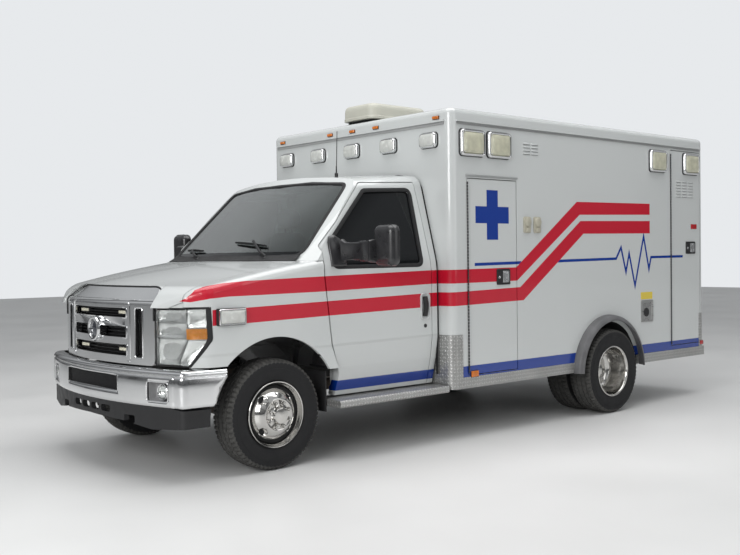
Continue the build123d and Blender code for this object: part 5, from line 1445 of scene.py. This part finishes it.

# Roof edge: the shadow line of the cove under the roof's edge, a drawn section along each wall.
# It is painted metal with a hollow lower face; its grey colour is painted shade, the shadow that lies in that
# hollow.
cove_height, cove_reach = 2.4245, 1.075
cove_section = (
    (-0.0065, 0.0002), (-0.0055, 0.0045), (-0.002, 0.002), (0.003, 0.002), (0.0085, 0.009), (0.0095, 0.0002),
)
front_cove = ((-0.013, 0.0002), (-0.012, 0.003), (0.012, 0.0105), (0.0135, 0.0002))
# Grey painted shade for the cove's hollow face
cove_painted_shade = finish("cove_painted_shade", (0.30, 0.305, 0.305), 0.4, (0.3, 0.08, (0.34, 0.46), 0.0001))
cove = bmesh.new()
for side in (1, -1):
    line = [at(side * wall_side, station, cove_height) for station in spread(1.590, 5.060, 13)]
    swept(cove, line, flipped(cove_section, side), (side, 0, 0))
line = [at(x, module_front, cove_height) for x in spread(-cove_reach, cove_reach, 17)]
swept(cove, line, front_cove, frontward)
line = [at(x, module_rear, cove_height) for x in spread(cove_reach, -cove_reach, 17)]
swept(cove, line, cove_section, backward)
built("roof_cove", cove, cove_painted_shade)

# Vents: rows of pressed louvres high on both walls and on the street-side rear compartment door.
# Each is a small hood pressed out of the sheet; the dark slot under it is painted shade, a black strip laid
# on the wall.
vent_long, vent_tall, vent_out = 0.044, 0.0075, 0.007
# (share of the way down, share of its rise) of a hood, and (share of the half height, drawn in) of the
# painted shade strip in a slot
vent_curve = ((0, 0.0), (0.25, 0.7), (0.6, 1.0), (1.0, 0.95))
slot_shade_lines = ((-1.0, 0.96), (-1.35, 0.92))


def louvre(hoods, slot_shade, place):
    """A pressed hood and the painted shade of the slot under it, a black strip."""
    turns = spread(0, math.pi, 9)
    bulges = [0, *(math.sin(turn) ** 0.5 for turn in turns[1:-1]), 0]
    rows = []
    for share, rise in vent_curve:
        row = []
        for turn, bulge in zip(turns, bulges):
            out = 0.0003 + vent_out * rise * bulge
            row.append(place @ Vector((-vent_long * math.cos(turn), vent_tall * (1 - 2 * share), out)))
        rows.append(row)
    lofted(hoods, rows)
    rows = []
    for height, width in slot_shade_lines:
        xs = [-vent_long * width * math.cos(turn) for turn in turns]
        rows.append([place @ Vector((x, vent_tall * height, 0.0006)) for x in xs])
    lofted(slot_shade, rows)


front_vents, front_slot_shade, rear_vents, rear_slot_shade = (bmesh.new() for _ in range(4))
for side in (1, -1):
    for station in (2.4105, 2.5125):
        for line in range(4):
            spot = at(side * wall_side, station, 2.318 - 0.0265 * line)
            louvre(front_vents, front_slot_shade, facing(spot, (side, 0, 0)))
for station in (4.675, 4.7835, 4.892):
    for line in range(6):
        louvre(rear_vents, rear_slot_shade, facing(at(wall_side, station, 2.104 - 0.0285 * line), (1, 0, 0)))
# The black strips in the louvre slots are painted shade.
built("wall_vents", front_vents, paint)
built("wall_vent_slot_shade", front_slot_shade, seal_rubber_and_slot_shade)
built("door_vents", rear_vents, paint, "street_rear_lid")
built("door_vent_slots", rear_slot_shade, seal_rubber_and_slot_shade, "street_rear_lid")

# Latches: flush paddle handles with a plated frame, a black pan with its key lock, and a bright pull.
# The pans are pressed steel, clamped through the door skin on a rubber seal.
rim_layers = ((0, 0.0004), (0, 0.005), (0.002, 0.008), (0.007, 0.008), (0.010, 0.003))
pan_layers = ((0, 0.0004), (0, 0.002), (0.01, 0.0025))
paddle_layers = ((0, 0.002), (0, 0.006), (0.003, 0.009), (0.010, 0.0095), (0.016, 0.0075), (0.022, 0.0075))
key_layers = ((0, 0.002), (0, 0.006), (0.0015, 0.0075), (0.005, 0.0065), (0.008, 0.006))
# (name, body, spot, the way it faces, half length, half height, side that the paddle is on)
latches = (
    ("front_latch", "street_front_lid", (wall_side, 2.109, 1.242), (1, 0, 0), 0.079, 0.063, 1),
    ("rear_latch", "street_rear_lid", (wall_side, 4.883, 1.462), (1, 0, 0), 0.084, 0.060, 1),
    ("entry_latch", "entry_leaf", (-wall_side, 2.860, 1.300), (-1, 0, 0), 0.079, 0.063, -1),
    ("curb_latch", "curb_rear_lid", (-wall_side, 4.940, 1.242), (-1, 0, 0), 0.079, 0.063, -1),
    ("rear_door_latch", "rear_leaf_left", (0.120, module_rear, 1.300), (0, 1, 0), 0.079, 0.063, 1),
)
paddle_metal = finish(
    "paddle_metal", (0.50, 0.51, 0.52), 0.25, (0.05, 0.1, (0.18, 0.32), 0.0001), {"Metallic": 0.7}
)
for name, body, spot, outward, half_long, half_tall, hand in latches:
    rim, pan, pull, key = (bmesh.new() for _ in range(4))
    place = facing(at(*spot), outward)
    pressed(rim, place, half_long, half_tall, 0.012, rim_layers, capped=False)
    pressed(pan, place, half_long - 0.006, half_tall - 0.006, 0.010, pan_layers)
    grip = place @ Matrix.Translation((hand * half_long * 0.38, 0, 0))
    pressed(pull, grip, half_long * 0.45, half_tall * 0.74, 0.008, paddle_layers)
    lock_spot = place @ Matrix.Translation((-hand * half_long * 0.62, -half_tall * 0.05, 0))
    button(key, lock_spot, 0.011, key_layers, 4)
    built(name + "_frame", rim, black_plastic, body)
    built(name + "_pan", pan, hollow_black, body)
    built(name + "_paddle", pull, paddle_metal, body)
    built(name + "_lock", key, chrome, body)

# Service inlets: a stainless filler pocket with its cap, and two cream covers on the power inlets.
# The covers are moulded with a round lid and a hinge at the foot.
filler_size = (0.096, 0.1015, 0.010)
rim_layers = ((0, 0.0004), (0, 0.008), (0.002, 0.010), (0.016, 0.010), (0.019, 0.0075), (0.021, 0.003))
pocket_layers = ((0.020, 0.0035), (0.030, 0.0015), (0.060, 0.001))
cap_layers = ((0, 0.001), (0, 0.006), (0.003, 0.009), (0.018, 0.009), (0.020, 0.0115), (0.026, 0.0118))
cover_layers = ((0, 0.0004), (0, 0.008), (0.003, 0.011), (0.008, 0.012))
lid_layers = ((0, 0.011), (0, 0.018), (0.004, 0.023), (0.012, 0.0255), (0.024, 0.027))
tab_layers = ((0, 0.010), (0, 0.018), (0.003, 0.021), (0.007, 0.022))
steel = finish(
    "stainless", (0.44, 0.44, 0.435), 0.32, (0.12, 0.08, (0.24, 0.4), 0.0002, (1, 1, 6)), {"Metallic": 0.85}
)
cream_plastic = finish("cream_plastic", (0.43, 0.41, 0.33), 0.45, (0.05, 0.06, (0.38, 0.52), 0.0002))
filler_frame, filler_cap, covers = (bmesh.new() for _ in range(3))
place = facing(at(wall_side, 4.121, 0.8765), (1, 0, 0))
pressed(filler_frame, place, *filler_size, rim_layers, capped=False)
pressed(filler_frame, place, *filler_size, pocket_layers)
button(filler_cap, place @ Matrix.Translation((-0.012, -0.012, 0)), 0.042, cap_layers, 9)
for station in (2.404, 2.531):
    place = facing(at(wall_side, station, 1.6575), (1, 0, 0))
    pressed(covers, place, 0.043, 0.066, 0.014, cover_layers)
    button(covers, place @ Matrix.Translation((0, 0.022, 0)), 0.038, lid_layers, 9)
    pressed(covers, place @ Matrix.Translation((0, -0.042, 0)), 0.022, 0.019, 0.005, tab_layers, steps=4)
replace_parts(built("filler_frame", filler_frame, steel), "service_inlets")
built("filler_cap", filler_cap, black_plastic)
built("inlet_covers", covers, cream_plastic)

# Cab-to-module boot: a folded rubber bellows that closes the gap between the cab's rear edge and the module.
# It follows the cab's outline a little inside its skin.
boot_outline = (
    (1.000, 0.50), (1.004, 0.80), (1.004, 1.15), (0.995, 1.36), (0.974, 1.45), (0.838, 1.953),
    (0.780, 2.025), (0.60, 2.066), (0, 2.078),
)
boot_middle = Vector((0, 1.25))
# (station, how far inside the skin) of each fold
folds = ((1.497, 0.006), (1.503, 0.018), (1.510, 0.006), (1.517, 0.018), (1.524, 0.006))
half = filleted(boot_outline, 0.10)
outline = [Vector((-point.x, point.y)) for point in half[:-1]] + half[::-1]
boot, rows = bmesh.new(), []
for station, inset in folds:
    shrunk = [point + (boot_middle - point).normalized() * inset for point in outline]
    rows.append([at(point.x, station, point.y) for point in shrunk])
lofted(boot, rows)
built("cab_boot", boot, seal_rubber_and_slot_shade)

# Roof air unit: a moulded cream cover, rounded all round, over a slotted black base on the module's roof.
# The cover is thermoformed plastic and screwed down through its rim.
unit_layers = (
    (0.012, 0.028), (0.0, 0.031), (0.0, 0.050), (0.005, 0.056), (0.005, 0.110), (0.009, 0.132),
    (0.018, 0.148), (0.033, 0.158), (0.055, 0.1625), (0.120, 0.1645),
)
fin_section = ((-0.010, -0.0018), (0.0, -0.0022), (0.0, 0.0016), (-0.010, 0.0018))
unit_cream = finish("unit_cream", (0.50, 0.495, 0.43), 0.42, (0.25, 0.04, (0.36, 0.5), 0.0002))
cover, base_mesh = bmesh.new(), bmesh.new()
unit_place = facing(at(0, 1.895, 2.540), skyward, backward)
pressed(cover, unit_place, 0.208, 0.330, 0.085, unit_layers, steps=8)
pressed(base_mesh, unit_place, 0.170, 0.295, 0.04, ((0.012, 0.0005), (0.012, 0.030)), capped=False)
for rise in (0.006, 0.0155, 0.025):
    ring = [unit_place @ Vector((x, y, rise)) for x, y in rounded_ring(0.169, 0.294, 0.04)]
    swept(base_mesh, ring, fin_section, skyward, closed=True)
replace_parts(built("unit_cover", cover, unit_cream), "roof_air_unit")
built("unit_base", base_mesh, black_plastic)

# Aerial: a short black whip on a rubber-booted base, screwed to the cab roof.
# The base is a moulded cone and the rod is spring steel under a black sleeve.
whip_half, whip_length, whip_lean = 0.0022, 0.33, 0.012
aerial = bmesh.new()
foot, _ = landed("cab_shell", at(0.30, 1.10, 2.4), -skyward)
cone = ((0, -0.003), (0, 0.026), (0.003, 0.030), (0.008, 0.034), (0.0095, 0.085))
button(aerial, Matrix.Translation(foot), 0.014, cone)
whip = [foot + Vector((0, whip_lean * share, 0.03 + whip_length * share)) for share in spread(0, 1, 5)]
rod = [(whip_half * x, whip_half * y) for x, y in ((-1, -1), (-1, 1), (1, 1), (1, -1))]
swept(aerial, whip, rod, frontward)
built("cab_aerial", aerial, black_plastic)

# Rear wheel flares: black extruded rubber bolted round the arches, over black-painted wheelhouses.
# Its outer face is crowned and slightly weathered.
# (from the middle, radius) round the arch
flare_section = (
    (1.1434, 0.500), (1.158, 0.4995), (1.176, 0.4965), (1.184, 0.493), (1.192, 0.4935), (1.207, 0.483),
    (1.219, 0.467), (1.2245, 0.455), (1.2225, 0.4475), (1.212, 0.4485), (1.200, 0.462), (1.186, 0.474),
    (1.160, 0.482), (1.1434, 0.484),
)
liner_section = ((1.139, 0.4385), (1.12, 0.434), (0.72, 0.434), (0.70, 0.42))
flare_rubber = finish("flare_rubber", (0.120, 0.120, 0.124), 0.42, (0.12, 0.2, (0.32, 0.52), 0.0003))
flares, liners = bmesh.new(), bmesh.new()
# (mesh, section, half of the turn in degrees, steps, whether it is a closed solid)
arches = ((flares, flare_section, 88, 49, True), (liners, liner_section, 80, 25, False))
for side in (1, -1):
    for mesh, section, half_turn, steps, whole in arches:
        rows = []
        for degrees in spread(-half_turn, half_turn, steps):
            turn = math.radians(degrees)
            rows.append([around_axle(wheelbase, side * x, radius, turn) for x, radius in section])
        lofted(mesh, rows, round_ends=whole, capped=whole)
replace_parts(built("arch_flares", flares, flare_rubber, sharp=50), "rear_flares")
built("arch_liners", liners, hollow_black)

# Cab seats: two bucket seats in grey vinyl over moulded foam, each on a steel box base, with a headrest.
# The cushions are crowned, with piped seams and a sewn panel down the middle.
vinyl = finish(
    "seat_vinyl", (0.10, 0.105, 0.115), 0.5, (0.02, 0.1, (0.42, 0.58), 0.0006), {"Sheen Weight": 0.15}
)
seats_low, seats_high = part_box("cab_seats")
seat_x, seat_back, cushion_top = 0.565, seats_high.y, seats_low.z + 0.36
# (half width, back and front edges, foot and top, crown, channels) of a seat's pads, from its back and top
seat_pads = (
    (0.222, (-0.535, -0.165), (-0.138, -0.004), 0.25, 3),
    (0.220, (-0.150, -0.022), (-0.10, 0.535), 0.22, 0),
    (0.128, (-0.123, -0.022), (0.56, 0.728), 0.4, 0),
)


def signed_power(value, power):
    """A value raised to a power, with its sign kept."""
    return math.copysign(abs(value) ** power, value)


def cushion(mesh, low, high, crown, channels=0):
    """A crowned pad between two corners, its rim drawn in, with sewn channels across its upper face."""
    middle = (Vector(low) + Vector(high)) / 2
    half = (Vector(high) - Vector(low)) / 2
    rows = []
    for tilt in spread(-math.pi / 2, math.pi / 2, 15):
        reach = max(abs(math.cos(tilt)) ** (crown * 1.4), 0.002)
        rise = signed_power(math.sin(tilt), 0.7)
        row = []
        for step in range(40):
            turn = 2 * math.pi * step / 40
            drawn_in = 0.985 * reach * (1 - 0.03 * math.cos(4 * turn) * (1 - abs(rise)))
            x = half.x * drawn_in * signed_power(math.cos(turn), crown)
            y = half.y * drawn_in * signed_power(math.sin(turn), crown)
            dip = 0
            if channels and rise > 0.2:
                seam = (0.5 + 0.5 * math.cos(math.pi * channels * (x / half.x + 1))) ** 6
                dip = 0.10 * half.z * seam * reach
            row.append(middle + Vector((x, y, half.z * rise - dip)))
        rows.append(row)
    lofted(mesh, rows, round_ends=True, capped=True)


pads, seat_bases = bmesh.new(), bmesh.new()
for x in (seat_x, -seat_x):
    for half, stations, heights, crown, channels in seat_pads:
        corners = zip((-half, half), stations, heights)
        low, high = ((x + off, seat_back + back, cushion_top + rise) for off, back, rise in corners)
        cushion(pads, low, high, crown, channels)
    base_place = facing((x, seat_back - 0.30, seats_low.z), skyward, backward)
    pressed(seat_bases, base_place, 0.185, 0.195, 0.03, ((0, 0.0), (0, 0.20), (0.008, 0.215)))
    for shift in (-0.05, 0.05):
        rod = facing((x + shift, seat_back - 0.072, cushion_top + 0.50), skyward, backward)
        button(seat_bases, rod, 0.006, ((0, 0), (0, 0.08)), 3)
cab_pads = built("cab_seat_pads", pads, vinyl, sharp=None)
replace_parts(cab_pads, "cab_seats")
built("cab_seat_bases", seat_bases, hollow_black)

# Bench: a long padded seat and backrest in the same vinyl, on a cabinet along the right wall.
# Three cushions lie end to end over the box, each with its own seam.
bench_low, bench_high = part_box("bench_seat")
bench_front, cushion_gap = -0.600, 0.006
bench_length = bench_high.y - bench_low.y
bench_pads, bench_box = bmesh.new(), bmesh.new()
for index in range(3):
    start = bench_low.y + bench_length * index / 3 + cushion_gap
    end = bench_low.y + bench_length * (index + 1) / 3 - cushion_gap
    cushion(bench_pads, (bench_low.x + 0.01, start, 1.085), (bench_front - 0.004, end, 1.178), 0.2)
    cushion(bench_pads, (bench_low.x + 0.004, start, 1.20), (-1.004, end, 1.646), 0.2)
bench = built("bench_pads", bench_pads, vinyl, sharp=None)
laminate = finish("cabinet_laminate", (0.55, 0.55, 0.53), 0.4, (0.4, 0.03, (0.34, 0.46), 0.0001))
box_middle = ((bench_low.x + bench_front) / 2, (bench_low.y + bench_high.y) / 2, bench_low.z)
box_layers = ((0.0, 0.0), (0.0, 0.165), (0.004, 0.170), (0.03, 0.1715))
box_place = facing(box_middle, skyward, backward)
pressed(bench_box, box_place, (bench_front - bench_low.x) / 2, bench_length / 2, 0.01, box_layers)
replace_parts(built("bench_box", bench_box, laminate), "bench_seat")

# Cab interior: a grained dashboard and engine cover, with a padded steering wheel.
# Inside the module the walls and cupboards are pale laminate and the floor is welded vinyl.
dash_plastic = finish("dash_plastic", (0.055, 0.056, 0.062), 0.6, (0.015, 0.12, (0.5, 0.7), 0.0006))
floor_vinyl = finish("floor_vinyl", (0.16, 0.17, 0.19), 0.45, (0.03, 0.2, (0.38, 0.55), 0.0002))
dress(dash_plastic, "dashboard")
dress(floor_vinyl, "module_floor")
dress(laminate, "cabinet_walls", "wheel_boxes")

# Frame and running gear: pressed steel rails, forged axles and leaf springs in black chassis paint,
# dusty and a little rusted. The engine is one plain casting.
rails, axles = ("frame_rails", "rear_springs"), ("front_axle", "rear_axle", "knuckle_left", "knuckle_right")
# (finish, colour, roughness, metallic, wear, CAD nodes)
gear = (
    ("chassis_black", (0.020, 0.019, 0.018), 0.6, 0, (0.15, 0.3, (0.5, 0.75), 0.0006), rails),
    ("rusted_cast", (0.075, 0.058, 0.048), 0.7, 0.3, (0.08, 0.35, (0.55, 0.85), 0.001), axles),
    ("cast_iron", (0.09, 0.09, 0.09), 0.6, 0.4, (0.05, 0.2, (0.5, 0.7), 0.001), ("engine_block",)),
    ("tank_steel", (0.13, 0.13, 0.135), 0.45, 0.5, (0.2, 0.15, (0.38, 0.55), 0.0004), ("fuel_tank",)),
    ("pipe_steel", (0.24, 0.22, 0.20), 0.5, 0.7, (0.1, 0.2, (0.4, 0.65), 0.0005), ("exhaust_pipe",)),
)
for name, colour, roughness, metallic, wear, nodes in gear:
    dress(finish(name, colour, roughness, wear, {"Metallic": metallic}), *nodes)
